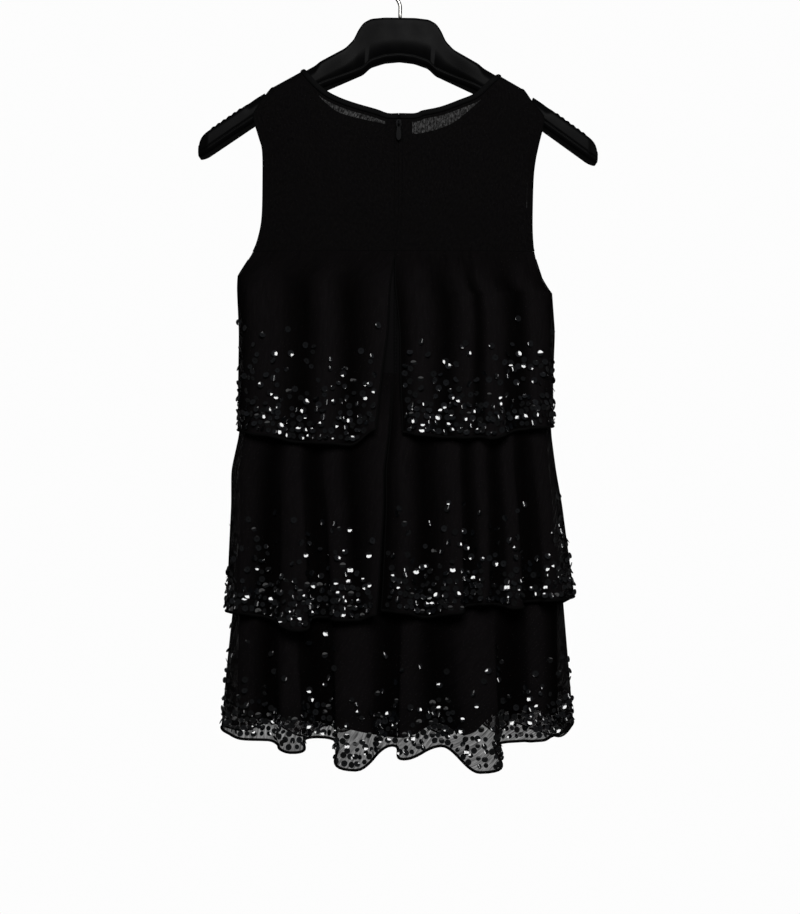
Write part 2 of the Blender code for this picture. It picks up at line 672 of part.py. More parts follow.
def zip_slider(look):
    """The slider's plate on the yoke and its bail, an arch with a hole through it along X."""
    x, z = PULL_AXIS
    face = -zip_face() - SEAM_GAP
    outline = []
    for turn in range(12):
        cos, sin = (part(math.radians(30 * turn + 15)) for part in (math.cos, math.sin))
        outline.append((x + SLIDER_WIDTH / 2 * math.copysign(abs(cos) ** 0.6, cos),
                        z + SLIDER_HEIGHT / 2 * math.copysign(abs(sin) ** 0.6, sin)))
    points = [(px, y, pz) for y in (face, face - SLIDER_PLATE) for px, pz in outline]
    count = len(outline)
    faces = [tuple(range(count)), tuple(range(count, 2 * count))]
    faces += [(k, (k + 1) % count, (k + 1) % count + count, k + count) for k in range(count)]
    body = add_mesh("zip_slider", points, faces, look)
    arch = []
    sunk = face - SLIDER_PLATE + 0.4
    for inset in (0.0, BAIL_THICKNESS):
        for angle in range(0, 181, 30):
            turn = math.radians(angle)
            arch.append((sunk - (BAIL_HEIGHT - inset) * math.sin(turn),
                         z + (BAIL_HALF_LENGTH - inset) * math.cos(turn)))
    ring = len(arch) // 2
    points = [(x + shift, y, height) for shift in (-BAIL_WIDTH / 2, BAIL_WIDTH / 2) for y, height in arch]
    faces = []
    for k in range(ring - 1):
        outer, inner = (k, k + 1), (k + ring, k + 1 + ring)
        far = 2 * ring
        faces.append((outer[0], outer[1], inner[1], inner[0]))
        faces.append(tuple(index + far for index in (outer[0], outer[1], inner[1], inner[0])))
        faces.append((outer[0], outer[1], outer[1] + far, outer[0] + far))
        faces.append((inner[0], inner[1], inner[1] + far, inner[0] + far))
    for end in (0, ring - 1):
        faces.append((end, end + ring, end + ring + 2 * ring, end + 2 * ring))
    bail = add_mesh("zip_bail", points, faces, look)
    join = body.modifiers.new("bail", "BOOLEAN")
    join.operation = "UNION"
    join.solver = "EXACT"
    join.object = bail
    bail.hide_render = True
    bail.display_type = "WIRE"
    return body


def zip_pull(look):
    """The pull tab: a bar through the bail, two cheeks and a drop-shaped tab, hinged about X."""
    x, z = PULL_AXIS
    axis_y = -zip_face() - SEAM_GAP - SLIDER_PLATE - BAR_STANDS_OFF
    inner = BAIL_WIDTH / 2 + PULL_PLAY
    outer = inner + PULL_CHEEK
    half = PULL_THICKNESS / 2
    body = bmesh.new()
    right = [(outer, half)] + [(width, -drop) for drop, width in PULL_OUTLINE]
    left = [(-across, height) for across, height in reversed(right)]
    window = [(-inner, half), (-inner, -PULL_WINDOW), (inner, -PULL_WINDOW), (inner, half)]
    outline = right + left + window
    front = [body.verts.new((across, -half, height)) for across, height in outline]
    back = [body.verts.new((across, half, height)) for across, height in outline]
    body.faces.new(front)
    body.faces.new(list(reversed(back)))
    count = len(outline)
    for k in range(count):
        body.faces.new((front[k], back[k], back[(k + 1) % count], front[(k + 1) % count]))
    bmesh.ops.scale(body, vec=(MM, MM, MM), verts=body.verts)
    bmesh.ops.recalc_face_normals(body, faces=body.faces)
    mesh = bpy.data.meshes.new("zip_pull")
    body.to_mesh(mesh)
    body.free()
    item = bpy.data.objects.new("zip_pull", mesh)
    item.location = (x * MM, axis_y * MM, z * MM)
    bpy.context.scene.collection.objects.link(item)
    mesh.materials.append(look)
    bar_points, bar_faces = box_points((-inner - 0.4, -PULL_BAR / 2, -PULL_BAR / 2),
                                       (inner + 0.4, PULL_BAR / 2, PULL_BAR / 2))
    bar = add_mesh("zip_bar", bar_points, bar_faces, look)
    bar.location = item.location
    bar.hide_render = True
    bar.display_type = "WIRE"
    join = item.modifiers.new("bar", "BOOLEAN")
    join.operation = "UNION"
    join.solver = "EXACT"
    join.object = bar
    return item


def main():
    clear_scene()
    sheer = material("sheer yoke crepe", (0.006, 0.006, 0.007), 0.75)
    chiffon = material("tier chiffon", (0.010, 0.009, 0.010), 0.7)
    satin = material("satin binding", (0.008, 0.008, 0.009), 0.45)
    lining = material("lining", (0.007, 0.007, 0.007), 0.6)
    plastic = material("hanger plastic", (0.008, 0.008, 0.009), 0.4)
    steel = material("hook steel", (0.6, 0.6, 0.62), 0.25, 1.0)
    enamel = material("zip enamel", (0.015, 0.015, 0.016), 0.35)
    tape = material("zip tape", (0.006, 0.006, 0.006), 0.8)

    hanger_body(plastic)
    hanger_hook(steel)

    lining_panel("lining_front", FRONT, -1, 1, lining)
    lining_panel("lining_back_left", BACK, -1, 0, lining)
    lining_panel("lining_back_right", BACK, 0, 1, lining)

    yoke_panels(sheer)
    neck_binding("neck_binding_front", FRONT, FRONT_NECK, (-1, 1), satin)
    neck_binding("neck_binding_back_left", BACK, BACK_NECK_LEFT, (-1,), satin)
    neck_binding("neck_binding_back_right", BACK, BACK_NECK_RIGHT, (1,), satin)

    first_front = front_folds(SIDE_FIRST, 5, 15.0, 10.5, -522.0, 5.0, 0.4)
    tier_panel("tier_1_front", FRONT, first_front, YOKE_SEAM, FIRST_TIER_LEVELS, chiffon)
    tier_panel("tier_1_back_left", BACK, FIRST_TIER_LEFT, YOKE_SEAM, FIRST_TIER_LEVELS, chiffon)
    tier_panel("tier_1_back_right", BACK, FIRST_TIER_RIGHT, YOKE_SEAM, FIRST_TIER_LEVELS, chiffon)

    second_front = front_folds(SIDE_SECOND, 7, 21.0, 10.0, -708.0, 9.0, 1.3)
    tier_panel("tier_2_front", FRONT, second_front, SECOND_TIER_SEAM, LOWER_TIER_LEVELS, chiffon)
    tier_panel("tier_2_back_left", BACK, SECOND_TIER_LEFT, SECOND_TIER_SEAM, LOWER_TIER_LEVELS, chiffon)
    tier_panel("tier_2_back_right", BACK, SECOND_TIER_RIGHT, SECOND_TIER_SEAM, LOWER_TIER_LEVELS, chiffon)

    third_front = front_folds(SIDE_THIRD, 7, 27.0, 7.0, -852.0, 14.0, 1.3)
    tier_panel("tier_3_front", FRONT, third_front, THIRD_TIER_SEAM, LOWER_TIER_LEVELS, chiffon)
    tier_panel("tier_3_back", BACK, THIRD_TIER_BACK, THIRD_TIER_SEAM, LOWER_TIER_LEVELS, chiffon)

    zip_tape(tape)
    zip_slider(enamel)
    zip_pull(enamel)


main()
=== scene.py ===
import functools
import math

import bpy
import numpy as np
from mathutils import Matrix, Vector, noise


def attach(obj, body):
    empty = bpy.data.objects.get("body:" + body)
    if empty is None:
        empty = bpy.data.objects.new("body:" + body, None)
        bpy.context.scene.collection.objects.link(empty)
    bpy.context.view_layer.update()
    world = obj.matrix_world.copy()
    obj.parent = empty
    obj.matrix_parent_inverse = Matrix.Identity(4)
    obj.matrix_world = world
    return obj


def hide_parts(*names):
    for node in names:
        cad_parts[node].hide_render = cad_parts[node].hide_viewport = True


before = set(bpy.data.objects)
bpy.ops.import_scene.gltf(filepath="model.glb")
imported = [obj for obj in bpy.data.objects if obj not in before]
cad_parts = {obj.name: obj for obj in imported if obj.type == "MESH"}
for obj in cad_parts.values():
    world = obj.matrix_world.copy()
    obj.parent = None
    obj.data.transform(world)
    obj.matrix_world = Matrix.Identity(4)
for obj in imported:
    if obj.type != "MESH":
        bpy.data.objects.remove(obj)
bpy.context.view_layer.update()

MM = 0.001
BACK = -1
FRONT = 1

# Cloth thicknesses, and the gaps at seams
CHIFFON = 0.35
CREPE = 0.45
LINING = 0.4
SEAM_GAP = 0.3
OVER_LINING = 1.4

# Heights of the seams that run across the dress
LINING_TOP = -279.4
YOKE_SEAM = -327.4
SECOND_TIER_SEAM = -461.0
THIRD_TIER_SEAM = -654.5
LINING_HEM = -846.0

# The lining's level sections: height, centre, half width, half depth
BODY = np.array([
    (-905.0, -4.0, 178.0, 38.0),
    (-780.0, -4.0, 177.0, 37.0),
    (-700.0, -3.0, 175.5, 35.0),
    (-606.0, -5.0, 172.5, 33.0),
    (-568.0, -8.0, 171.3, 32.0),
    (-528.0, -6.0, 166.5, 31.0),
    (-470.0, -6.0, 168.0, 29.5),
    (-415.0, -4.5, 170.5, 28.0),
    (-365.0, -7.5, 171.3, 27.0),
    (-300.0, -4.5, 171.5, 24.0),
    (-216.0, -3.5, 170.0, 21.0),
    (-140.0, -3.5, 168.0, 20.0),
])
BODY_ROUNDNESS = 2.5

# Armhole edges of the back, from the shoulder down to the underarm: x, height
ARMHOLE_LEFT = ((-141.9, -147.8), (-149.6, -157.3), (-158.4, -170.5), (-161.7, -180.4),
                (-155.7, -202.4), (-152.1, -216.7), (-151.8, -249.7), (-152.9, -291.5),
                (-157.9, -315.7), (-163.9, -330.0), (-170.5, -339.9), (-180.0, -354.2))
ARMHOLE_RIGHT = ((134.2, -150.7), (143.0, -162.1), (151.8, -172.7), (156.8, -182.6),
                 (150.7, -211.2), (147.4, -227.7), (145.2, -249.7), (144.1, -297.0),
                 (145.2, -321.2), (148.0, -335.5), (155.0, -357.5), (164.0, -372.1))
FRONT_ARMHOLE_INSET = 5.0
LINING_ARMHOLE_INSET = 1.2

# Necklines between the two shoulder corners: x, height
BACK_NECK_LEFT = ((-97.9, -136.4), (-83.6, -149.9), (-69.3, -158.0), (-50.6, -165.0),
                  (-27.0, -171.9), (-14.3, -176.4), (-2.7, -176.4))
BACK_NECK_RIGHT = ((-2.3, -176.4), (15.4, -176.4), (23.1, -173.4), (42.9, -169.2),
                   (63.8, -161.5), (81.4, -154.0), (94.6, -141.9))
FRONT_NECK = ((-95.0, -145.5), (-85.0, -156.8), (-71.4, -167.3), (-55.8, -172.7), (-38.7, -176.6),
              (-19.0, -181.0), (11.2, -191.6), (29.7, -189.6), (43.9, -185.8), (58.0, -180.0),
              (72.3, -169.2), (86.6, -156.8), (97.0, -145.0))
NECK_CORNERS = (-106.7, 107.3)
CENTRE_BACK = ((-2.5, -176.4), (-2.8, -279.4), (-6.0, YOKE_SEAM))

# Coat hanger, in its own upright frame
HANGER_TILT = math.radians(0.88)
HANGER_PIXEL = 1.1
HANGER_TOP = 83.6
ARM_HALF_DEPTH = 18.5
HUMP_HALF_DEPTH = 11.0
DOME_SHARE = 0.8
DOME_LIMIT = 0.5
SHOULDER_CLEARANCE = 0.8
HOOK_WIRE = 4.0
HOOK_RADIUS = 21.0

# Zip
TAPE_WIDTH = 30.0
TAPE_END = -520.0
PULL_AXIS = (-2.5, -187.6)
PULL_AXIS_Y = -25.826


# Looks

def linear(code):
    """The linear colour of an sRGB hex code."""
    parts = [int(code[k:k + 2], 16) / 255 for k in (1, 3, 5)]
    return (*[c / 12.92 if c <= 0.04045 else ((c + 0.055) / 1.055) ** 2.4 for c in parts], 1.0)


def add(tree, kind, inputs=(), **settings):
    """Adds a node with its settings; each input is a value or the socket that feeds it."""
    node = tree.nodes.new(kind)
    for name, value in settings.items():
        setattr(node, name, value)
    for key, value in dict(inputs).items():
        if isinstance(value, bpy.types.NodeSocket):
            tree.links.new(value, node.inputs[key])
        else:
            node.inputs[key].default_value = value
    return node


def new_look(name, code, **values):
    """A Principled material: its tree, its shader, and the sockets named set to plain values."""
    look = bpy.data.materials.new(name)
    look.use_nodes = True
    tree = look.node_tree
    shader = tree.nodes["Principled BSDF"]
    shader.inputs["Base Color"].default_value = linear(code)
    for key, value in values.items():
        shader.inputs[key.replace("_", " ")].default_value = value
    return look, tree, shader


def feed(shader, name, socket):
    """Links a socket to one of the shader's."""
    shader.id_data.links.new(socket, shader.inputs[name])


def own(tree, name):
    """A value that the piece's mesh holds at each point."""
    return add(tree, "ShaderNodeAttribute", attribute_name=name).outputs["Fac"]


def math_of(tree, operation, first, second, clamp=False):
    """One sum or comparison of two values."""
    return add(tree, "ShaderNodeMath", {0: first, 1: second}, operation=operation,
               use_clamp=clamp).outputs[0]


def spread(tree, value, start, end, low, high):
    """A value carried over from one range to another."""
    return add(tree, "ShaderNodeMapRange", {"Value": value, "From Min": start, "From Max": end,
                                            "To Min": low, "To Max": high}).outputs["Result"]


def tone(tree, share, dark, light):
    """A colour between two."""
    return add(tree, "ShaderNodeMix", {0: share, 6: linear(dark), 7: linear(light)},
               data_type="RGBA").outputs[2]


def blotches(tree, place, detail, scale=1.0, distortion=0.0):
    """Soft noise at a place."""
    return add(tree, "ShaderNodeTexNoise", {"Vector": place, "Scale": scale, "Detail": detail,
                                            "Distortion": distortion}).outputs["Fac"]


def raise_bump(tree, shader, height, strength, depth_mm):
    """Shades the surface as if it rose by the given height."""
    bump = add(tree, "ShaderNodeBump", {"Strength": strength, "Distance": depth_mm * MM, "Height": height})
    feed(shader, "Normal", bump.outputs["Normal"])


def cloth_place(tree, across_mm, along_mm):
    """The cloth's own UV, in metres along its threads, counted in repeats of the given sizes."""
    uv = add(tree, "ShaderNodeUVMap", uv_map="threads").outputs["UV"]
    return add(tree, "ShaderNodeMapping", {"Vector": uv, "Scale": (1000 / across_mm, 1000 / along_mm, 1.0)}
               ).outputs["Vector"]


def weave_bump(tree, shader, thread_mm, strength, depth_mm, grain_mm):
    """Plain weave: a warp wave and a weft wave, roughened by the yarn's own grain."""
    wave = {"Vector": cloth_place(tree, thread_mm, thread_mm), "Scale": 1.0, "Distortion": 0.4, "Detail": 1.0}
    warp, weft = (add(tree, "ShaderNodeTexWave", wave, bands_direction=way).outputs["Fac"] for way in "XY")
    grain = blotches(tree, cloth_place(tree, grain_mm, grain_mm * 1.6), 3.0)
    height = math_of(tree, "ADD", math_of(tree, "MAXIMUM", warp, weft), grain)
    raise_bump(tree, shader, height, strength, depth_mm)
    return grain


def chiffon_look():
    """Polyester chiffon: hair-thin crepe yarn, sheer where it is single and black where it is backed, with
    painted shade in the troughs of its gathers.
    """
    look, tree, shader = new_look("polyester_chiffon", "#0e0c0d", Roughness=0.8, Specular_IOR_Level=0.03)
    # The real threads are 0.2 mm apart; drawn at 1 mm so that they show
    weave_bump(tree, shader, 1.0, 0.25, 0.12, 2.2)
    crinkle = blotches(tree, cloth_place(tree, 2.6, 16.0), 2.0, distortion=0.6)
    streaks = spread(tree, crinkle, 0.3, 0.7, -0.15, 0.17)
    feed(shader, "Alpha", math_of(tree, "ADD", own(tree, "cover"), streaks, clamp=True))
    # Painted shade: the colour is darkened in the troughs of the gathers and lightened on their crests,
    # standing in for the shade that falls into the folds
    feed(shader, "Base Color", tone(tree, own(tree, "crest"), "#030202", "#131112"))
    return look


def crepe_look():
    """Crepe georgette: dense hard-twisted yarn, whose crinkles let a little light through in streaks."""
    look, tree, shader = new_look("crepe_georgette", "#0c0b0c", Roughness=0.85, Specular_IOR_Level=0.03)
    # The real threads are 0.3 mm apart; drawn at 1.3 mm so that they show
    grain = weave_bump(tree, shader, 1.3, 0.35, 0.2, 2.4)
    crinkle = blotches(tree, cloth_place(tree, 1.6, 3.6), 2.5, distortion=0.8)
    single = spread(tree, crinkle, 0.36, 0.68, 0.95, 0.74)
    feed(shader, "Alpha", math_of(tree, "ADD", single, own(tree, "double"), clamp=True))
    feed(shader, "Base Color", tone(tree, grain, "#040304", "#131212"))
    return look


def cloth_look(name, code, other, roughness, specular, thread_mm, strength):
    """Close-woven black cloth whose dye and nap vary a little along the threads."""
    look, tree, shader = new_look(name, code, Roughness=roughness, Specular_IOR_Level=specular)
    grain = weave_bump(tree, shader, thread_mm, strength, 0.15, thread_mm * 2.5)
    feed(shader, "Base Color", tone(tree, grain, code, other))
    return look


def solid_look(name, code, other, grain_mm, rough_low, rough_high, bump_mm, **values):
    """A hard piece in object coordinates: a fine surface grain under wear that changes its gloss."""
    look, tree, shader = new_look(name, code, **values)
    place = add(tree, "ShaderNodeTexCoord").outputs["Object"]
    wear = blotches(tree, place, 4.0, 1000 / (grain_mm * 40))
    feed(shader, "Base Color", tone(tree, wear, code, other))
    feed(shader, "Roughness", spread(tree, wear, 0.3, 0.7, rough_low, rough_high))
    raise_bump(tree, shader, blotches(tree, place, 2.0, 1000 / grain_mm), 0.5, bump_mm)
    return look


def sequin_look():
    """Black polyester film, pressed into cups: as smooth as glass, each one tinted a little."""
    look, tree, shader = new_look("sequin_film", "#08080a", IOR=1.68, Coat_Weight=1.0, Coat_Roughness=0.04,
                                  Coat_IOR=1.65)
    tint = own(tree, "tint")
    feed(shader, "Base Color", tone(tree, tint, "#060708", "#15171a"))
    feed(shader, "Roughness", spread(tree, tint, 0.0, 1.0, 0.05, 0.16))
    return look


LOOKS = {
    "chiffon": chiffon_look(),
    "crepe": crepe_look(),
    "lining": cloth_look("pongee_lining", "#060506", "#0a090a", 0.7, 0.05, 0.9, 0.2),
    "binding": cloth_look("satin_bias_binding", "#070707", "#0c0c0d", 0.7, 0.04, 1.1, 0.3),
    "thread": cloth_look("polyester_thread", "#060606", "#0b0b0b", 0.75, 0.03, 0.5, 0.4),
    "tape": cloth_look("knitted_zip_tape", "#080808", "#0e0e0e", 0.85, 0.05, 1.4, 0.6),
    "coil": cloth_look("nylon_coil", "#060606", "#0a0a0b", 0.6, 0.06, 0.6, 0.1),
    "sequin": sequin_look(),
    # Black polystyrene from a sparked mould: satin, with a fine even grain
    "plastic": solid_look("moulded_polystyrene", "#040404", "#09090a", 0.6, 0.36, 0.5, 0.02, IOR=1.59,
                          Specular_IOR_Level=0.035),
    # Cold drawn wire under bright nickel: mirror smooth, with faint drawing marks
    "steel": solid_look("nickel_plated_wire", "#b9b8b3", "#cfcdc8", 0.4, 0.12, 0.24, 0.01, Metallic=1.0),
    # Stoved black enamel on zinc, dulled by handling, with a little orange peel
    "enamel": solid_look("stoved_enamel", "#060607", "#0b0b0d", 0.8, 0.36, 0.46, 0.006, IOR=1.52,
                         Specular_IOR_Level=0.045),
}


# Curves and the body that the cloth hangs as

def ease(value):
    """A smooth step from 0 to 1."""
    value = np.clip(value, 0.0, 1.0)
    return value * value * (3.0 - 2.0 * value)


def spline(points, shares):
    """Points on a smooth curve through the given points, at shares of its length."""
    points = np.asarray(points, float)
    ends = np.vstack((2 * points[0] - points[1], points, 2 * points[-1] - points[-2]))
    dense = []
    for a, b, c, d in zip(ends[:-3], ends[1:-2], ends[2:-1], ends[3:]):
        for s in np.linspace(0.0, 1.0, 24, endpoint=False):
            dense.append(0.5 * (2 * b + (c - a) * s + (2 * a - 5 * b + 4 * c - d) * s ** 2
                                + (3 * b - a - 3 * c + d) * s ** 3))
    dense = np.array(dense + [points[-1]])
    length = line_length(dense)
    places = np.asarray(shares) * length[-1]
    return np.column_stack([np.interp(places, length, dense[:, k]) for k in range(dense.shape[1])])


def bezier(s):
    """How much each of a curve's four points counts at a share of it."""
    return (1 - s) ** 3, 3 * s * (1 - s) ** 2, 3 * s ** 2 * (1 - s), s ** 3


def softened_body():
    """The body's sections at every 2 mm, with the table's corners rounded."""
    heights = np.arange(-930.0, -100.0, 2.0)
    weights = np.hanning(17)[1:-1]
    columns = []
    for column in (1, 2, 3):
        plain = np.interp(np.arange(-944.0, -86.0, 2.0), BODY[:, 0], BODY[:, column])
        columns.append(np.convolve(plain, weights / weights.sum(), "valid"))
    return heights, columns


BODY_HEIGHTS, BODY_COLUMNS = softened_body()


def body_size(height):
    """Centre, half width and half depth of the lining at a height."""
    return [float(np.interp(height, BODY_HEIGHTS, column)) for column in BODY_COLUMNS]


@functools.lru_cache(maxsize=None)
def quarter_section(height):
    """A quarter of the section at a height: share of its length, x, y and the normal's x and y."""
    _, width, depth = body_size(height)
    turn = np.linspace(0.0, math.pi / 2, 300)
    x = width * np.sin(turn) ** (2 / BODY_ROUNDNESS)
    y = depth * np.cos(turn) ** (2 / BODY_ROUNDNESS)
    length = np.concatenate(([0.0], np.cumsum(np.hypot(np.diff(x), np.diff(y)))))
    normal = np.array([(x / width) ** (BODY_ROUNDNESS - 1) / width,
                       (y / depth) ** (BODY_ROUNDNESS - 1) / depth])
    normal = normal / np.hypot(*normal)
    return length / length[-1], x, y, normal[0], normal[1]


def on_body(side, across, height, out=0.0):
    """A point on the front or back: across runs from -1 at the left side seam to 1 at the right."""
    shares, x, y, normal_x, normal_y = quarter_section(round(height, 1))
    share = min(abs(across), 1.0)
    x, y, normal_x, normal_y = (np.interp(share, shares, column)
                                for column in (x, y, normal_x, normal_y))
    centre = body_size(height)[0]
    reach = math.copysign(x + normal_x * out, across)
    return centre + reach, side * max(y + normal_y * out, SEAM_GAP / 2), height


def across_at(x, height, out):
    """The share of the half girth at which the section reaches x."""
    shares, reach, _, normal_x, _ = quarter_section(round(height, 1))
    return float(np.interp(abs(x - body_size(height)[0]), reach + normal_x * out, shares))


def body_depth(x, height, out):
    """How far from the middle plane the section is at x."""
    _, reach, depth, normal_x, normal_y = quarter_section(round(height, 1))
    return float(np.interp(abs(x - body_size(height)[0]), reach + normal_x * out, depth + normal_y * out))


@functools.lru_cache(maxsize=None)
def side_limit(side, hand, height, inset):
    """How far across a panel reaches at a height: to the armhole's edge, or 1 below the underarm."""
    edge = np.array(ARMHOLE_LEFT if hand < 0 else ARMHOLE_RIGHT)
    underarm = edge[-1, 1]
    if height <= underarm:
        return 1.0
    x = np.interp(-height, -edge[:, 1], edge[:, 0])
    if side == FRONT:
        inset += FRONT_ARMHOLE_INSET
    x -= hand * inset * float(ease((height - underarm) / 30.0))
    return across_at(x, height, OVER_LINING)


def reach_across(side, across, height, inset=0.0):
    """Draws a share of the girth in to where the armhole's edge cuts the panel."""
    hand = -1 if across < 0 else 1
    return across * side_limit(side, hand, round(height, 1), inset)


# Making meshes

def grid_normals(side, grid):
    """Outward normals of rows and columns of points that run down and to +X."""
    normal = side * np.cross(np.gradient(grid, axis=1), np.gradient(grid, axis=0))
    return normal / np.maximum(np.linalg.norm(normal, axis=2, keepdims=True), 1e-9)


def linked(name, data):
    """An object in the scene that holds the given mesh, curve, light or camera."""
    item = bpy.data.objects.new(name, data)
    bpy.context.scene.collection.objects.link(item)
    return item


def smooth_mesh(name, points, edges, faces):
    """A mesh from points in millimetres."""
    mesh = bpy.data.meshes.new(name)
    mesh.from_pydata((np.asarray(points, float) * MM).tolist(), edges, faces)
    mesh.shade_smooth()
    return mesh


def piece(name, points, faces, look, body="dress"):
    """A mesh object from points in millimetres, which rides on a body."""
    mesh = smooth_mesh(name, points, [], faces)
    mesh.materials.append(LOOKS[look])
    item = linked(name, mesh)
    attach(item, body)
    return item


def ring_faces(rings, sides):
    """Faces over rings of points that follow each other, and over both ends."""
    faces = []
    for ring in range(rings - 1):
        for k in range(sides):
            a, b = ring * sides + k, ring * sides + (k + 1) % sides
            faces.append((a, b, b + sides, a + sides))
    return faces + [tuple(range(sides))[::-1], tuple(range(rings * sides - sides, rings * sides))]


def squared(value, power):
    """A sine or cosine bent towards a box's outline."""
    return math.copysign(abs(value) ** power, value)


def line_length(points):
    """How far along a line each of its points lies."""
    steps = np.linalg.norm(np.diff(points, axis=0), axis=1)
    return np.concatenate(([0.0], np.cumsum(steps)))


def lay_threads(item, across, along):
    """Gives a piece the UV of its cloth, in metres along its threads, from one value for each vertex."""
    layer = item.data.uv_layers.new(name="threads")
    corners = np.empty(len(item.data.loops), dtype=np.int64)
    item.data.loops.foreach_get("vertex_index", corners)
    layer.data.foreach_set("uv", np.column_stack((across[corners], along[corners])).ravel() * MM)


def grid_lengths(grid, axis):
    """How far along the cloth each point of a grid lies, across or down it."""
    steps = np.linalg.norm(np.diff(grid, axis=axis), axis=2)
    start = np.zeros((grid.shape[0], 1)) if axis == 1 else np.zeros((1, grid.shape[1]))
    return np.concatenate((start, np.cumsum(steps, axis=axis)), axis=axis)


def shell(name, side, grid, thickness, look, lift=0.0, values=()):
    """A thin closed shell of cloth whose outer face is the grid, moved out by lift."""
    grid = np.asarray(grid, float)
    normal = grid_normals(side, grid)
    layers = [grid + normal * lift, grid + normal * (lift - thickness)]
    for layer in layers:
        layer[:, :, 1] = side * np.maximum(side * layer[:, :, 1], SEAM_GAP / 2)
    rows, columns = grid.shape[:2]
    place = np.arange(rows * columns).reshape(rows, columns)
    quads = np.stack((place[:-1, :-1], place[:-1, 1:], place[1:, 1:], place[1:, :-1]), axis=-1).reshape(-1, 4)
    rim = np.concatenate((place[0, :-1], place[:-1, -1], place[-1, :0:-1], place[:0:-1, 0]))
    after = np.roll(rim, -1)
    count = rows * columns
    edge = np.column_stack((after, rim, rim + count, after + count))
    inner = quads[:, ::-1] + count
    faces = np.concatenate((quads, inner, edge))
    if side == BACK:
        faces = faces[:, ::-1]
    item = piece(name, np.concatenate([layer.reshape(-1, 3) for layer in layers]), faces.tolist(), look)
    across, along = (grid_lengths(grid, axis).ravel() for axis in (1, 0))
    lay_threads(item, np.tile(across, 2), np.tile(along, 2))
    for label, field in dict(values).items():
        held = item.data.attributes.new(label, "FLOAT", "POINT")
        held.data.foreach_set("value", np.tile(field.ravel(), 2))
    item.data.set_sharp_from_angle(angle=math.radians(60))
    return item


def sheet_of(grid):
    """Turns the grid into an array of floats and does nothing more with it."""
    grid = np.asarray(grid, float)


# A rod's rounded end: how far beyond the path each ring lies, and how wide it is, in radii
TUBE_END = tuple((reach, math.sqrt(1 - reach * reach)) for reach in (0.92, 0.6, 0.3))


def tube(name, path, radius, sides, look, body="dress"):
    """A round rod along a path, closed and rounded at both ends."""
    path = np.asarray(path, float)
    along = np.gradient(path, axis=0)
    along /= np.linalg.norm(along, axis=1, keepdims=True)
    up = np.array((0.0, 1.0, 0.0))
    rings = [(path[0] - along[0] * radius * reach, along[0], share) for reach, share in TUBE_END]
    rings += [(centre, way, 1.0) for centre, way in zip(path, along)]
    rings += [(path[-1] + along[-1] * radius * reach, along[-1], share) for reach, share in TUBE_END[::-1]]
    points = []
    for centre, way, share in rings:
        first = up - way * up.dot(way)
        first /= np.linalg.norm(first)
        second = np.cross(way, first)
        for k in range(sides):
            turn = 2 * math.pi * k / sides
            points.append(centre + radius * share * (first * math.cos(turn) + second * math.sin(turn)))
    return piece(name, points, ring_faces(len(rings), sides), look, body)


# Geometry Nodes: things sewn along a line or over a cloth, and rolled edges

def new_tree(name, inputs):
    """A geometry tree with its group's input and output, and the named inputs of its sizes."""
    tree = bpy.data.node_groups.new(name, "GeometryNodeTree")
    tree.interface.new_socket(name="Geometry", in_out="INPUT", socket_type="NodeSocketGeometry")
    tree.interface.new_socket(name="Geometry", in_out="OUTPUT", socket_type="NodeSocketGeometry")
    for label, kind in inputs.items():
        tree.interface.new_socket(name=label, in_out="INPUT", socket_type="NodeSocket" + kind)
    return tree, add(tree, "NodeGroupInput").outputs


def end_tree(tree, geometry, look):
    """Closes a tree with real geometry in one material."""
    real = add(tree, "GeometryNodeRealizeInstances", {"Geometry": geometry})
    dyed = add(tree, "GeometryNodeSetMaterial", {"Geometry": real.outputs["Geometry"], "Material": look})
    add(tree, "NodeGroupOutput", {"Geometry": dyed.outputs["Geometry"]})
    return tree


def rolled_edge_tree():
    """A narrow rolled edge: the cloth's edge turned over twice into a round cord."""
    tree, given = new_tree("rolled_edge", {"Radius": "Float", "Look": "Material"})
    line = add(tree, "GeometryNodeMeshToCurve", {"Mesh": given["Geometry"]})
    ring = add(tree, "GeometryNodeCurvePrimitiveCircle", {"Resolution": 8, "Radius": given["Radius"]})
    roll = add(tree, "GeometryNodeCurveToMesh", {"Curve": line.outputs["Curve"],
                                                 "Profile Curve": ring.outputs["Curve"], "Fill Caps": True})
    return end_tree(tree, roll.outputs["Mesh"], given["Look"])


def row_tree():
    """One shape repeated along a line at an even pitch, turned along it and out from the cloth."""
    tree, given = new_tree("row_along_a_line", {"Shape": "Object", "Pitch": "Float", "Look": "Material"})
    line = add(tree, "GeometryNodeMeshToCurve", {"Mesh": given["Geometry"]})
    even = add(tree, "GeometryNodeResampleCurve", {"Curve": line.outputs["Curve"], "Length": given["Pitch"]},
               mode="LENGTH")
    shape = add(tree, "GeometryNodeObjectInfo", {"Object": given["Shape"]})
    out = add(tree, "GeometryNodeInputNamedAttribute", {"Name": "out"}, data_type="FLOAT_VECTOR")
    way = add(tree, "GeometryNodeInputTangent")
    along = add(tree, "FunctionNodeAlignRotationToVector", {"Vector": way.outputs[0]}, axis="X")
    upright = add(tree, "FunctionNodeAlignRotationToVector",
                  {"Rotation": along.outputs[0], "Vector": out.outputs["Attribute"]},
                  axis="Z", pivot_axis="X")
    laid = add(tree, "GeometryNodeInstanceOnPoints",
               {"Points": even.outputs["Curve"], "Instance": shape.outputs["Geometry"],
                "Rotation": upright.outputs[0]})
    return end_tree(tree, laid.outputs["Instances"], given["Look"])


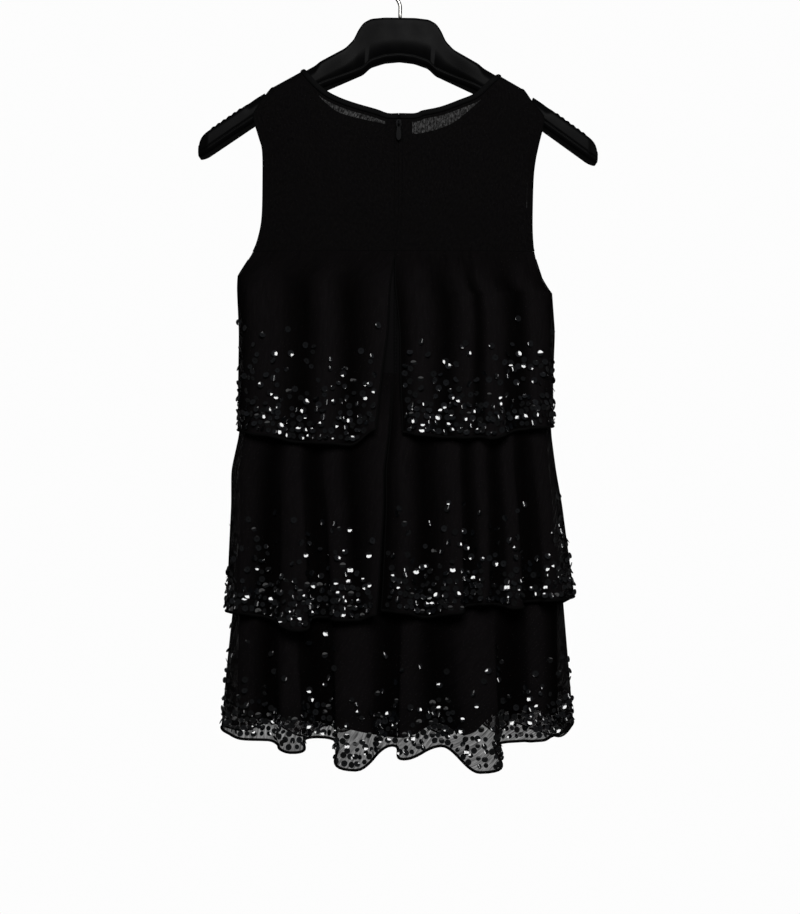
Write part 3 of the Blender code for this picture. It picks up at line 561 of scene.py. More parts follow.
def sequin_tree():
    """A sequin at every point of a carrier, facing out and tilted by the thread that holds it."""
    tree, given = new_tree("sewn_sequins", {"Shape": "Object", "Tilt": "Float", "Small": "Float",
                                            "Seed": "Int", "Look": "Material"})
    out = add(tree, "GeometryNodeInputNamedAttribute", {"Name": "out"}, data_type="FLOAT_VECTOR")
    facing = add(tree, "FunctionNodeAlignRotationToVector", {"Vector": out.outputs["Attribute"]}, axis="Z")
    minus = add(tree, "ShaderNodeMath", {0: given["Tilt"], 1: -1.0}, operation="MULTIPLY")
    corners = [add(tree, "ShaderNodeCombineXYZ", {"X": side, "Y": side, "Z": turn})
               for side, turn in ((minus.outputs[0], -math.pi), (given["Tilt"], math.pi))]
    wobble = add(tree, "FunctionNodeRandomValue", {"Min": corners[0].outputs[0], "Max": corners[1].outputs[0],
                                                   "Seed": given["Seed"]}, data_type="FLOAT_VECTOR")
    turned = add(tree, "FunctionNodeRotateRotation",
                 {"Rotation": facing.outputs[0], "Rotate By": wobble.outputs["Value"]},
                 rotation_space="LOCAL")
    other = add(tree, "ShaderNodeMath", {0: given["Seed"], 1: 7.0}, operation="ADD")
    pick = add(tree, "FunctionNodeRandomValue", {"Probability": 0.4, "Seed": other.outputs[0]},
               data_type="BOOLEAN")
    size = add(tree, "GeometryNodeSwitch", {"Switch": pick.outputs[3], "False": 1.0, "True": given["Small"]},
               input_type="FLOAT")
    shape = add(tree, "GeometryNodeObjectInfo", {"Object": given["Shape"]})
    laid = add(tree, "GeometryNodeInstanceOnPoints",
               {"Points": given["Geometry"], "Instance": shape.outputs["Geometry"],
                "Rotation": turned.outputs[0], "Scale": size.outputs[0]})
    shade = add(tree, "FunctionNodeRandomValue", {"Seed": other.outputs[0]}, data_type="FLOAT")
    tinted = add(tree, "GeometryNodeStoreNamedAttribute",
                 {"Geometry": laid.outputs["Instances"], "Name": "tint", "Value": shade.outputs[1]},
                 data_type="FLOAT", domain="INSTANCE")
    return end_tree(tree, tinted.outputs["Geometry"], given["Look"])


TREES = {"roll": rolled_edge_tree(), "row": row_tree(), "sequins": sequin_tree()}


def carrier(points, out=None, joined=True):
    """The line, or the loose points, that a tree works on, and which way is out from the cloth."""
    edges = [(k, k + 1) for k in range(len(points) - 1)] if joined else []
    mesh = smooth_mesh("carrier", points, edges, [])
    if out is not None:
        held = mesh.attributes.new("out", "FLOAT_VECTOR", "POINT")
        held.data.foreach_set("vector", np.asarray(out, float).ravel())
    return linked("carrier", mesh)


def grown(name, base, tree, look, crisp=None, **sizes):
    """Runs a tree on a carrier and keeps the result as a plain mesh piece, its crisp edges sharp."""
    step = base.modifiers.new("grow", "NODES")
    step.node_group = TREES[tree]
    sizes["Look"] = LOOKS[look]
    for socket in TREES[tree].interface.items_tree:
        if socket.in_out == "INPUT" and socket.name in sizes:
            step[socket.identifier] = sizes[socket.name]
    ready = bpy.context.evaluated_depsgraph_get()
    mesh = bpy.data.meshes.new_from_object(base.evaluated_get(ready), depsgraph=ready)
    base.modifiers.remove(step)
    mesh.name = name
    spent = base.data
    bpy.data.objects.remove(base, do_unlink=True)
    bpy.data.meshes.remove(spent)
    mesh.shade_smooth()
    if crisp:
        mesh.set_sharp_from_angle(angle=math.radians(crisp))
    item = linked(name, mesh)
    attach(item, "dress")
    return item


def rolled_edge(name, points, radius):
    """A rolled or bound edge along a line."""
    return grown(name, carrier(points), "roll", "thread", Radius=radius * MM)


def pattern_object(name, points, faces):
    """A small shape that the trees repeat. It is taken away at the end."""
    return linked(name, smooth_mesh(name, points, [], faces))


def stitch_shape(length, radius, rise):
    """One stitch: a thread that rises from the cloth and dives again."""
    points = []
    sides, steps = 6, 5
    for step in range(steps):
        s = step / (steps - 1)
        across, height = (s - 0.5) * length, rise * 4 * s * (1 - s) - radius * 0.4
        width = radius * (0.55 if step in (0, steps - 1) else 1.0)
        for k in range(sides):
            turn = math.pi * k / 3
            points.append((across, width * math.cos(turn), height + width * math.sin(turn)))
    return pattern_object("stitch_pattern", points, ring_faces(steps, sides))


def knot_shape():
    """The sewing thread that fills a sequin's hole: a low dome under it, 1.5 mm across."""
    sides, radius = 8, 0.75
    turns = [math.pi * k / 4 for k in range(sides)]
    points = [(radius * math.cos(turn), radius * math.sin(turn), -0.14) for turn in turns]
    points += [(0.0, 0.0, 0.03), (0.0, 0.0, -0.35)]
    faces = []
    for k in range(sides):
        after = (k + 1) % sides
        faces += [(k, after, sides), (after, k, sides + 1)]
    return pattern_object("knot_pattern", points, faces)


def sequin_shape():
    """A cupped sequin 7 mm across: a disc with a hole, dished towards its rim, 0.1 mm thick."""
    sides = 12
    rings = ((0.5, 0.0), (1.9, 0.08), (3.5, 0.38))
    film = 0.1
    turns = [2 * math.pi * k / sides for k in range(sides)]
    points = [(radius * math.cos(turn), radius * math.sin(turn), rise + layer)
              for layer in (0.0, -film) for radius, rise in rings for turn in turns]
    faces = []
    under = len(rings) * sides
    last = under - sides
    for k in range(sides):
        after = (k + 1) % sides
        for ring in range(len(rings) - 1):
            a, b = ring * sides + k, ring * sides + after
            faces.append((a, a + sides, b + sides, b))
            faces.append((a + under, b + under, b + sides + under, a + sides + under))
        faces.append((k, after, after + under, k + under))
        faces.append((last + after, last + k, last + k + under, last + after + under))
    return pattern_object("sequin_pattern", points, faces)


STITCH = stitch_shape(2.0, 0.22, 0.28)
SEQUIN = sequin_shape()
KNOT = knot_shape()


STITCH_PITCH = 2.6
BINDING_STITCH_PITCH = 2.3


def stitches(name, points, normals, pitch=STITCH_PITCH):
    """A row of stitches along a line on the cloth."""
    return grown(name, carrier(points, normals), "row", "thread", Shape=STITCH, Pitch=pitch * MM)


# Lining

LINING_ROLL = 0.45
HALF_GIRTH = 180.0
# Height of the lining's hem above or below its plain height: across, difference
LINING_HEM_FRONT = ((-1, 4), (-0.6, 6), (-0.1, 0), (0.4, 0), (0.5, 6), (0.58, 10),
                    (0.85, 11), (1, 6))
LINING_HEM_BACK = ((-1, 4), (-0.85, 6), (-0.45, 5), (-0.36, 0), (-0.2, -7), (-0.08, -11),
                   (0.03, -13), (0.1, -9), (0.2, 3), (0.27, 2), (0.37, -11), (0.44, -8),
                   (0.5, 4), (0.56, 15), (0.8, 17), (0.88, 10), (1, 6))


def lining_drift(side, across, drop):
    """How far the lining swings in and out of its plain form, growing towards its hem."""
    phase = 0.7 if side == BACK else 2.1
    swing = math.sin(9.0 * across + phase) + 0.6 * math.sin(17.0 * across + 2.0 * phase)
    return 0.9 * swing * float(ease((drop - 250.0) / 300.0))


def lining_panel(name, side, start, end):
    """A lining panel from one share of the girth to another."""
    gap = SEAM_GAP / 2 / HALF_GIRTH
    start, end = (value if abs(value) > 0.5 else math.copysign(gap, other)
                  for value, other in ((start, end), (end, start)))
    shares = np.linspace(start, end, 56 if end - start > 1.5 else 30)
    rise = LINING_HEM_BACK if side == BACK else LINING_HEM_FRONT
    grid = []
    for level in np.linspace(0.0, 1.0, 64):
        row = []
        for share in shares:
            hem = LINING_HEM + float(np.interp(share, *zip(*rise)))
            height = LINING_TOP + (hem - LINING_TOP) * level
            place = reach_across(side, share, height, LINING_ARMHOLE_INSET)
            row.append(on_body(side, place, height, lining_drift(side, share, LINING_TOP - height)))
        grid.append(row)
    item = shell(name + "_cloth", side, grid, LINING, "lining")
    parts = [rolled_edge(name + "_hem", np.array(grid)[-1] - (0, side * LINING / 2, 0), LINING_ROLL)]
    if side == BACK:
        column = 0 if start < -0.5 else -1
        parts.append(rolled_edge(name + "_seam", np.array(grid)[:, column], LINING_ROLL))
    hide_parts(name)
    sheet_of(grid)


# Tiers
# Each row is a crest or a trough of the gathers, from the left: its place at the seam and at
# the hem in hundredths of the half girth, how far it stands out at half height and at the hem,
# how far the flank on its right rolls over (above 1 it overhangs), and the hem's height there.

SIDE_FIRST = {"left": (-100, -100, 4.5, 8, 0.42, -523), "right": (100, 100, 4.5, 8, 0.42, -519)}
FIRST_TIER_LEFT = (
    SIDE_FIRST["left"],
    (-82, -81, 7, 16, 0.42, -529),
    (-54, -57.5, 4, 11, 0.42, -537),
    (-42.4, -43, 7, 18, 0.42, -538),
    (-28.3, -27, 5, 13, 0.42, -540),
    (-0.5, -12.1, 5.5, 15, 0.42, -523),
)
FIRST_TIER_RIGHT = (
    (-0.1, 4.6, 3.5, 11, 0.42, -526),
    (14.4, 16.3, 6, 15, 0.42, -529.5),
    (30.7, 31.1, 4.5, 12, 0.42, -531.5),
    (44, 43.4, 6.5, 16, 0.60, -532),
    (50.2, 50.6, 5, 13, 0.60, -531),
    (56, 57.5, 8.5, 20, 0.90, -533),
    (73.3, 76.9, 2.6, 10.5, 0.80, -523),
    (84.2, 86.4, 6.5, 16, 0.42, -521),
    SIDE_FIRST["right"],
)
SIDE_SECOND = {"left": (-100, -100, 9.5, 14, 0.42, -722.5), "right": (100, 100, 9, 19, 0.42, -707)}
SECOND_TIER_LEFT = (
    SIDE_SECOND["left"],
    (-89, -88.3, 12.5, 20, 0.42, -723.5),
    (-71, -78.6, 5.5, 10, 0.80, -726.5),
    (-63.2, -56.2, 12, 28, 1.15, -740.5),
    (-53, -44.1, 4.5, 10, 1.00, -727),
    (-39.7, -31.7, 11, 20, 0.42, -729.5),
    (-28.5, -23.1, 9, 17, 0.42, -729.5),
    (-1.5, -12.4, 9, 22, 0.42, -723.5),
)
SECOND_TIER_RIGHT = (
    (-1, -9.6, 7, 13, 0.42, -719.5),
    (5.9, 3.5, 10.5, 20, 0.42, -721.5),
    (18.5, 15.1, 6, 11, 0.60, -727),
    (38, 32.7, 11, 24, 1.05, -722),
    (44, 41.5, 8, 15, 0.60, -713.5),
    (53, 49.2, 12, 22, 0.70, -712),
    (61.8, 55.9, 7, 13, 0.70, -713),
    (69, 64.8, 12.5, 24, 1.15, -717),
    (78.5, 75.7, 4.5, 10, 0.90, -710.5),
    (90, 87, 11.5, 22, 0.42, -709),
    SIDE_SECOND["right"],
)
SIDE_THIRD = {"left": (-100, -100, 9, 17, 0.42, -851.5), "right": (100, 100, 9.5, 17, 0.42, -846)}
THIRD_TIER_BACK = (
    SIDE_THIRD["left"],
    (-89, -84.5, 11.5, 20, 0.42, -860),
    (-76, -73.2, 5, 8, 0.80, -861.5),
    (-66.4, -58.6, 14, 30, 1.30, -871.5),
    (-53.9, -44.9, 3.5, 6, 1.20, -857.5),
    (-24.2, -22.8, 14, 34, 0.80, -889),
    (-3.6, -3.1, 3.5, 8, 1.10, -866),
    (8.5, 3.6, 11, 24, 0.60, -878.5),
    (14, 24.9, 7, 12, 0.60, -866),
    (46.5, 44.9, 14.5, 36, 1.35, -891.5),
    (66.3, 66.8, 3.5, 6, 0.80, -863),
    (81, 79.4, 11, 20, 0.42, -861),
    (91, 88.5, 8.5, 13, 0.42, -857),
    SIDE_THIRD["right"],
)
FLANK_SOFT = 0.42

# Creases listed for a tier: across and level where one starts, across and level where it ends,
# its half width in hundredths of the half girth, and its height in mm (below 0 it is a trough)
CREASES = {
    "tier_1_back_left": ((-8, 0.02, -19, 0.24, 1.8, -0.9), (-14, 0.02, -27, 0.20, 1.5, -0.7),
                         (-24, 0.03, -31, 0.33, 2.2, 0.6), (-47, 0.05, -52, 0.62, 2.6, -1.0),
                         (-66, 0.02, -69, 0.48, 3.2, -0.9), (-74, 0.10, -72, 0.95, 2.4, 0.7),
                         (-36, 0.45, -34, 1.00, 2.0, -0.8), (-90, 0.12, -93, 0.80, 2.0, 0.7),
                         (-20, 0.50, -18, 1.00, 2.2, -0.9)),
    "tier_1_back_right": ((9, 0.02, 11, 0.55, 2.0, -0.8), (20, 0.01, 22, 0.40, 1.6, -0.9),
                          (26, 0.01, 27, 0.26, 1.2, 0.9), (36, 0.01, 37, 0.60, 1.5, -0.8),
                          (41, 0.01, 39, 0.30, 1.0, 0.8), (47, 0.01, 48, 0.34, 1.0, -0.8),
                          (66, 0.02, 69, 0.90, 1.9, 0.8), (79, 0.15, 82, 1.00, 1.6, -0.8),
                          (92, 0.20, 95, 1.00, 1.8, 0.7), (24, 0.55, 26, 1.00, 1.8, -0.7)),
    "tier_2_back_left": ((-95, 0.30, -94, 1.00, 1.4, -0.9), (-83, 0.35, -84, 0.95, 1.3, -0.9),
                         (-68, 0.40, -66, 1.00, 1.2, 0.9), (-47, 0.45, -38, 1.00, 1.4, -0.8),
                         (-35, 0.30, -27, 0.90, 1.3, 0.7), (-20, 0.30, -18, 0.95, 1.8, -0.8)),
    "tier_2_back_right": ((1, 0.35, -3, 0.95, 1.5, -0.8), (12, 0.40, 9, 1.00, 1.3, 0.8),
                          (28, 0.35, 24, 1.00, 1.6, -0.9), (34, 0.55, 29, 0.95, 1.1, 0.7),
                          (57, 0.45, 53, 1.00, 1.0, -0.7), (84, 0.30, 82, 1.00, 1.6, 0.8),
                          (95, 0.35, 94, 1.00, 1.4, -0.8)),
    "tier_3_back": ((-94, 0.20, -92, 1.00, 1.6, -0.8), (-82, 0.25, -79, 0.90, 1.4, 0.8),
                    (-63, 0.30, -64, 1.00, 1.4, 0.9), (-44, 0.20, -36, 0.95, 1.8, -1.0),
                    (-34, 0.25, -28, 1.00, 1.4, 0.8), (-16, 0.30, -15, 1.00, 1.8, -0.9),
                    (2, 0.35, 1, 1.00, 1.0, 0.7), (20, 0.20, 29, 0.80, 2.2, -1.0),
                    (31, 0.30, 37, 1.00, 1.8, 0.8), (52, 0.25, 55, 0.90, 1.6, -0.7),
                    (74, 0.30, 73, 1.00, 1.7, 0.8), (86, 0.25, 84, 1.00, 1.2, -0.7)),
}


def front_creases(count, phase):
    """Creases on a hidden front, uneven in place, slant, length and depth as the back's are."""
    rows = []
    for k in range(count):
        start = -92 + 184 * (k + 0.5 + 0.35 * math.sin(2.7 * k + phase)) / count
        end = start + 5 * math.sin(3.1 * k + phase)
        top = 0.05 + 0.3 * abs(math.sin(1.7 * k + phase))
        low = min(top + 0.5 + 0.3 * abs(math.cos(k)), 1.0)
        height = (1 if k % 2 else -1) * (0.7 + 0.3 * math.sin(k + phase))
        rows.append((start, top, end, low, 1.4 + 0.7 * abs(math.sin(2.1 * k)), height))
    return rows


def front_folds(sides, folds, crest, trough, hem, drop, phase):
    """Rows for a hidden front: even gathers, made uneven in place, depth, roll and length."""
    rows = [sides["left"]]
    last = 2 * folds
    for k in range(1, last):
        place = -100 + 200 * (k + 0.3 * math.sin(1.9 * k + phase)) / last
        rises = k % 2 == 1
        swing = 1 + 0.25 * math.sin(2.3 * k + phase)
        out = (crest if rises else trough) * swing
        half_way = out * (0.48 if rises else 0.62)
        roll = max(FLANK_SOFT, 0.6 + 0.45 * math.sin(2.7 * k + phase))
        low = hem - (drop if rises else 0.0) * swing + 3.0 * math.sin(1.3 * k)
        rows.append((place, place, half_way, out, roll, low))
    return rows + [sides["right"]]


def fold_place(row, level):
    """Where a crest or trough lies at a level, and how far out."""
    seam, hem, half_way, full = row[:4]
    start = OVER_LINING + 0.04 * full
    out = (start * (1 - level) * (1 - 2 * level) + half_way * 4 * level * (1 - level)
           + full * level * (2 * level - 1))
    return seam + (hem - seam) * level, max(out, start)


def fold_columns(rows, level):
    """Across, out, hem height and share of the crest of every column of a tier at a level from 0 to 1."""
    columns = []
    for left, right in zip(rows, rows[1:]):
        (across_a, out_a), (across_b, out_b) = (fold_place(row, level) for row in (left, right))
        roll = left[4]
        reach = (FLANK_SOFT + (roll - FLANK_SOFT) * level) * (across_b - across_a)
        bends = (across_a, across_a + reach, across_b - reach, across_b)
        steps = int(min(max(abs(right[1] - left[1]) * 0.8 + 4 * roll, 8), 18))
        for step in range(steps):
            s = step / steps
            weights = bezier(s)
            across = sum(w * v for w, v in zip(weights, bends))
            # The share of the crest, which the chiffon's painted shade follows
            crest = float(ease(s if right[3] > left[3] else 1 - s))
            reached = weights[1] * roll + weights[2] * (1 - roll) + weights[3] if roll < 1 else s
            columns.append((across, out_a + (out_b - out_a) * float(ease(s)),
                            left[5] + (right[5] - left[5]) * float(ease(reached)), crest))
    columns.append((*fold_place(rows[-1], level), rows[-1][5], 1.0 if rows[-1][3] > rows[-2][3] else 0.0))
    return columns


def crease_height(creases, across, level):
    """What the listed creases add at a place."""
    total = 0.0
    for start, top, end, low, half, height in creases:
        t = (level - top) / (low - top)
        if not -0.15 < t < 1.15 or (low >= 1.0 and t > 1.1):
            continue
        away = (across - (start + (end - start) * t)) / half
        if abs(away) > 3:
            continue
        tail = float(ease((t + 0.15) / 0.4)) * (1.0 if low >= 1.0 else float(ease((1.15 - t) / 0.4)))
        total += height * math.exp(-away * away) * tail
    return total


def gathers(across, drop, strength, fade):
    """Fine uneven puckers that the gathering thread leaves below a seam."""
    wave = (math.sin(1.05 * across) + 0.8 * math.sin(1.73 * across + 1.1)
            + 0.6 * math.sin(2.61 * across + 0.4 * math.sin(0.3 * across)))
    return strength * wave * math.exp(-drop / fade)


# For each tier: how strong its gathers are in mm, over what drop they fade in mm,
# and for the first one how much stronger they are where the photograph shows them
GATHERS = {"1": (0.22, 26.0), "2": (0.4, 34.0), "3": (0.4, 38.0)}
FULLER_NAME = "tier_1_back_right"
FULLER_GATHERS = 2.2
FULLER_PLACE = 42.0
FULLER_REACH = 26.0
# How far the cloth swings between its creases, growing towards the hem
SLOW_SWING = 1.1
FRONT_CREASES = {"1": 16, "2": 22, "3": 22}
# Radii of the rolled hems, of the open edges and of the cords at the side seams
HEM_ROLL = 1.6
FRONT_HEM_ROLL = 1.0
EDGE_ROLL = 0.9
SEAM_ROLL = 0.6
# How black the chiffon is on each of its two faces: backed over the lining, single below it and
# away from the sides, and close to the armholes as black as the seam's turned edges make it
BACKED = 0.78
SINGLE = 0.6
SINGLE_FROM = -832.0
BACKED_FROM = -818.0
SINGLE_ACROSS = 86.0
SINGLE_BLEND = 8.0
AT_SIDES = 0.7
AT_ARMHOLE = 0.97
ARMHOLE_ACROSS = 90.0
ARMHOLE_FROM = -395.0
ARMHOLE_BLEND = (4.0, 12.0)


def tier_grid(name, side, rows, seam, levels):
    """Rows and columns of a tier's outer face."""
    number = name[5]
    creases = CREASES.get(name) or front_creases(FRONT_CREASES[number], float(number))
    strength, fade = GATHERS[number]
    grid = []
    for level in levels:
        line = []
        for across, out, hem, _ in fold_columns(rows, level):
            height = seam - SEAM_GAP / 2 + (hem - seam) * level
            drop = seam - height
            share = reach_across(side, across / 100, height)
            fuller = 1.0
            if name == FULLER_NAME:
                fuller += FULLER_GATHERS * math.exp(-((across - FULLER_PLACE) / FULLER_REACH) ** 2)
            relief = gathers(across, drop, strength * fuller, fade) + crease_height(creases, across, level)
            soft = noise.noise(Vector((across / 9, height / 70, side * 3.1 + float(number))))
            relief = (relief + SLOW_SWING * soft * level) * min(1.0, drop / 4.0)
            relief *= float(ease((100.2 - abs(across)) / 4.0))
            line.append(on_body(side, share, height, max(out + relief, OVER_LINING - 0.6 + CHIFFON)))
        grid.append(line)
    return np.array(grid)


# Sequins: rows above the hem and the share of their places that are filled, then a thinning scatter
SEQUIN_ROWS = ((6.4, 0.97), (13.4, 0.95), (20.6, 0.92), (27.8, 0.86), (35.0, 0.72))
SEQUIN_PITCH = 7.0
SCATTER_FROM = 39.0
SCATTER_TO = 123.0
# How many are tried for each mm of width, where the scatter thins out over SCATTER_UNIT mm
SCATTER_PER_MM = {"1": 0.42, "2": 0.32, "3": 0.2}
SCATTER_UNIT = 22.0
SCATTER_FADE = {"1": 34.0, "2": 27.0, "3": 22.0}
LEVEL_STEP = 2.0
# How unevenly a row is sewn: along it in pitches, and across it in mm
ROW_WANDER = (0.16, 0.9)
# The least distance between two middles, in the rows and in the scatter
ROWS_APART = 4.6
SCATTER_APART = 5.6
SIDE_MARGIN = 4.0
SEQUIN_STAND_OFF = 1.1
SEQUIN_TILT = math.radians(33)
SMALL_SEQUIN = 0.78


def level_lines(values, to_hem):
    """The grid's values along lines that lie at even distances above the hem."""
    heights = np.arange(LEVEL_STEP, SCATTER_TO + 3 * LEVEL_STEP, LEVEL_STEP)
    lines = np.empty((len(heights), values.shape[1], 3))
    for column in range(values.shape[1]):
        reach = to_hem[::-1, column]
        for axis in range(3):
            lines[:, column, axis] = np.interp(heights, reach, values[::-1, column, axis])
    return lines


def sewn_places(name, side, grid, seed):
    """Where the sequins are sewn on a panel, and which way each one faces."""
    steps = np.linalg.norm(np.diff(grid[::-1], axis=0), axis=2)
    to_hem = np.vstack((np.zeros(grid.shape[1]), np.cumsum(steps, axis=0)))[::-1]
    fields = [level_lines(values, to_hem) for values in (grid, grid_normals(side, grid))]
    chance = np.random.default_rng(seed)
    places, facing = [], []

    def sew(height, share, apart):
        low = max(height / LEVEL_STEP - 1, 0.0)
        part = low - int(low)
        line, normal = (field[int(low)] * (1 - part) + field[int(low) + 1] * part for field in fields)
        length = line_length(line)
        along = SIDE_MARGIN + share * (length[-1] - 2 * SIDE_MARGIN)
        place, out = (np.array([np.interp(along, length, field[:, axis]) for axis in range(3)])
                      for field in (line, normal))
        if places and np.min(np.linalg.norm(np.array(places) - place, axis=1)) < apart:
            return
        places.append(place)
        facing.append(out / np.linalg.norm(out))

    width = np.linalg.norm(np.diff(fields[0][3], axis=0), axis=1).sum()
    count = int((width - 2 * SIDE_MARGIN) / SEQUIN_PITCH)
    for index, (height, filled) in enumerate(SEQUIN_ROWS):
        for k in range(count):
            jitter = chance.normal(0.0, 1.0, 2)
            if chance.random() < filled:
                share = (k + 0.25 + 0.5 * (index % 2) + ROW_WANDER[0] * jitter[0]) / count
                sew(height + ROW_WANDER[1] * jitter[1], min(max(share, 0.0), 1.0), ROWS_APART)
    fade = SCATTER_FADE[name[5]]
    reach = 1 - math.exp(-(SCATTER_TO - SCATTER_FROM) / fade)
    for _ in range(int(width * SCATTER_PER_MM[name[5]] * fade / SCATTER_UNIT)):
        height = SCATTER_FROM - fade * math.log(1 - chance.random() * reach)
        sew(height, chance.random(), SCATTER_APART)
    return np.array(places), np.array(facing)


def chiffon_cover(name, height, across):
    """How black each face of a tier's chiffon is."""
    cover = np.full(height.shape, BACKED)
    if name.startswith("tier_3"):
        backed = ease((height - SINGLE_FROM) / (BACKED_FROM - SINGLE_FROM))
        backed = np.maximum(backed, AT_SIDES * ease((across - SINGLE_ACROSS) / SINGLE_BLEND))
        cover = SINGLE + (BACKED - SINGLE) * backed
    if name.startswith("tier_1"):
        near = ease((across - ARMHOLE_ACROSS) / ARMHOLE_BLEND[0])
        near = near * ease((height - ARMHOLE_FROM) / ARMHOLE_BLEND[1])
        cover = np.maximum(cover, AT_ARMHOLE * near)
    return cover


def tier_panel(name, side, rows, seam, count, seed, rests_on):
    """A tier's panel of chiffon with its rolled edges and its sequins."""
    levels = [s + 0.12 * math.sin(2 * math.pi * s) / (2 * math.pi) for s in np.linspace(0.0, 1.0, count)]
    grid = tier_grid(name, side, rows, seam, levels)
    columns = np.array([fold_columns(rows, level) for level in levels])
    opened = ease(np.array(levels) / 0.25)[:, None]
    # The crest share carries the chiffon's painted shade: dark in the troughs, light on the crests, and
    # middling just under the seam
    values = {"cover": chiffon_cover(name, grid[:, :, 2], np.abs(columns[:, :, 0])),
              "crest": 0.5 * (1 - opened) + columns[:, :, 3] ** 0.8 * opened}
    cloth = shell(name + "_chiffon", side, grid, CHIFFON, "chiffon", values=values)
    middle = grid - grid_normals(side, grid) * CHIFFON / 2
    parts = [rolled_edge(name + "_hem", middle[-1], HEM_ROLL if side == BACK else FRONT_HEM_ROLL)]
    for edge, column, armhole in (("left", 0, ARMHOLE_LEFT), ("right", -1, ARMHOLE_RIGHT)):
        line = middle[2:, column]
        if abs(rows[column][0]) < 50:
            parts.append(rolled_edge(f"{name}_{edge}_edge", line, EDGE_ROLL))
            continue
        if side == FRONT:
            line = line[line[:, 2] > armhole[-1][1]]
        if len(line) > 2:
            parts.append(rolled_edge(f"{name}_{edge}_seam", line, SEAM_ROLL))
    places, facing = sewn_places(name, side, grid, seed)
    for made, look, shape, crisp in (("sequins", "sequin", SEQUIN, 40), ("knots", "thread", KNOT, None)):
        base = carrier(places + facing * SEQUIN_STAND_OFF, facing, joined=False)
        parts.append(grown(f"{name}_{made}", base, "sequins", look, crisp=crisp, Shape=shape,
                           Tilt=SEQUIN_TILT, Small=SMALL_SEQUIN, Seed=seed))
    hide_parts(name)
    sheet_of(grid)


# Hanger

# Half outline of the hanger in pixels of 1.1 mm, from its middle out: across, top, bottom
HANGER_OUTLINE = (
    (0, -14, 28.6), (15, -14, 30.2), (29, -12.5, 34.9), (36.5, -8.5, 42.2),
    (42.5, 0, 44.8), (45.5, 8, 46.2), (54.3, 17.3, 49.9), (75, 29.3, 58.3),
    (93.3, 39.7, 67.6), (124, 57, 83.4), (129.5, 61, 86.3), (132.4, 70, 87.8),
    (134.8, 63.3, 89.1), (143.3, 68.7, 93.5), (147.5, 71.7, 96.3), (156, 79, 102.2),
    (191, 103.6, 126.6), (194.5, 106.3, 128.6), (197.5, 110, 129.7), (199, 114, 129.8),
    (199.4, 117, 129.2),
)
# How finely the outline is followed: from, to, step
HANGER_STEPS = ((0.0, 126.0, 2.0), (126.0, 138.0, 0.8), (138.0, 156.0, 2.0), (156.0, 191.0, 0.45),
                (191.0, 199.4, 0.9))
# Slanting teeth that hold a strap: each one rises slowly outwards and drops over its last part
TEETH = 6
TEETH_SPAN = (157.0, 188.5)
TEETH_HEIGHT = 1.2
TOOTH_RISE = 0.5
NOTCH = 132.4
RIM = 6.0
# The faces are flat and their edges tight, but under the cloth, where the arm is round: from where to where
ROUND_ARM = (86.0, 162.0)
TIGHT_EDGE = 0.4
# The bead along the lower edge: out from the face, then down from the face's end or from the bottom
BEAD = ((0.0, 0.0), (-0.55, 0.5), (-0.5, 1.1), (0.1, 1.7), (0.15, 2.6), (-0.3, 4.2))
BEAD_FOOT = ((-1.4, -1.1), (-2.6, -0.2), (-4.2, 0.0))
BEAD_SET_BACK = 1.6


def hanger_to_world(across, y, down):
    """Turns the hanger's own place, across and down from the rail in mm, into the tilted one."""
    cos, sin = math.cos(HANGER_TILT), math.sin(HANGER_TILT)
    return across * cos - down * sin, y, -(across * sin + down * cos)


def arm_half_depth(across):
    """The hanger's half depth at a distance from its middle in mm."""
    return HUMP_HALF_DEPTH + (ARM_HALF_DEPTH - HUMP_HALF_DEPTH) * float(ease((abs(across) - 45.0) / 50.0))


def hanger_ring(across, top, bottom):
    """One section: a domed top, flat faces, and a beaded rim along the bottom edge."""
    depth = arm_half_depth(across) * (1 - 0.35 * float(ease((abs(across) - 208.0) / 16.0)))
    dome = min(DOME_SHARE * depth, DOME_LIMIT * (bottom - top))
    along = abs(across) / HANGER_PIXEL
    teeth = 0.0
    if TEETH_SPAN[0] < along < TEETH_SPAN[1]:
        share = (along - TEETH_SPAN[0]) / (TEETH_SPAN[1] - TEETH_SPAN[0]) * TEETH % 1.0
        teeth = TEETH_HEIGHT * float(ease(min(share / TOOTH_RISE, (1 - share) / (1 - TOOTH_RISE))))
    first, last = ROUND_ARM
    tight = 1 - float(ease((abs(across) - first) / 9.0)) * float(ease((last + 9.0 - abs(across)) / 9.0))
    power = 1 - (1 - TIGHT_EDGE) * tight
    half = []
    for turn in np.radians(np.linspace(0, 90, 13)):
        raised = teeth * float(ease((1.15 - turn) / 0.5))
        half.append((depth * math.sin(turn) ** power,
                     top - raised + dome * (1 - max(math.cos(turn), 0.0) ** power)))
    flat = bottom - RIM - BEAD_SET_BACK
    half.append((depth, 0.5 * (top + dome + flat)))
    half += [(depth + out, flat + down) for out, down in BEAD]
    half += [(depth + out, bottom + down) for out, down in BEAD_FOOT]
    return half + [(-y, down) for y, down in half[:0:-1]]


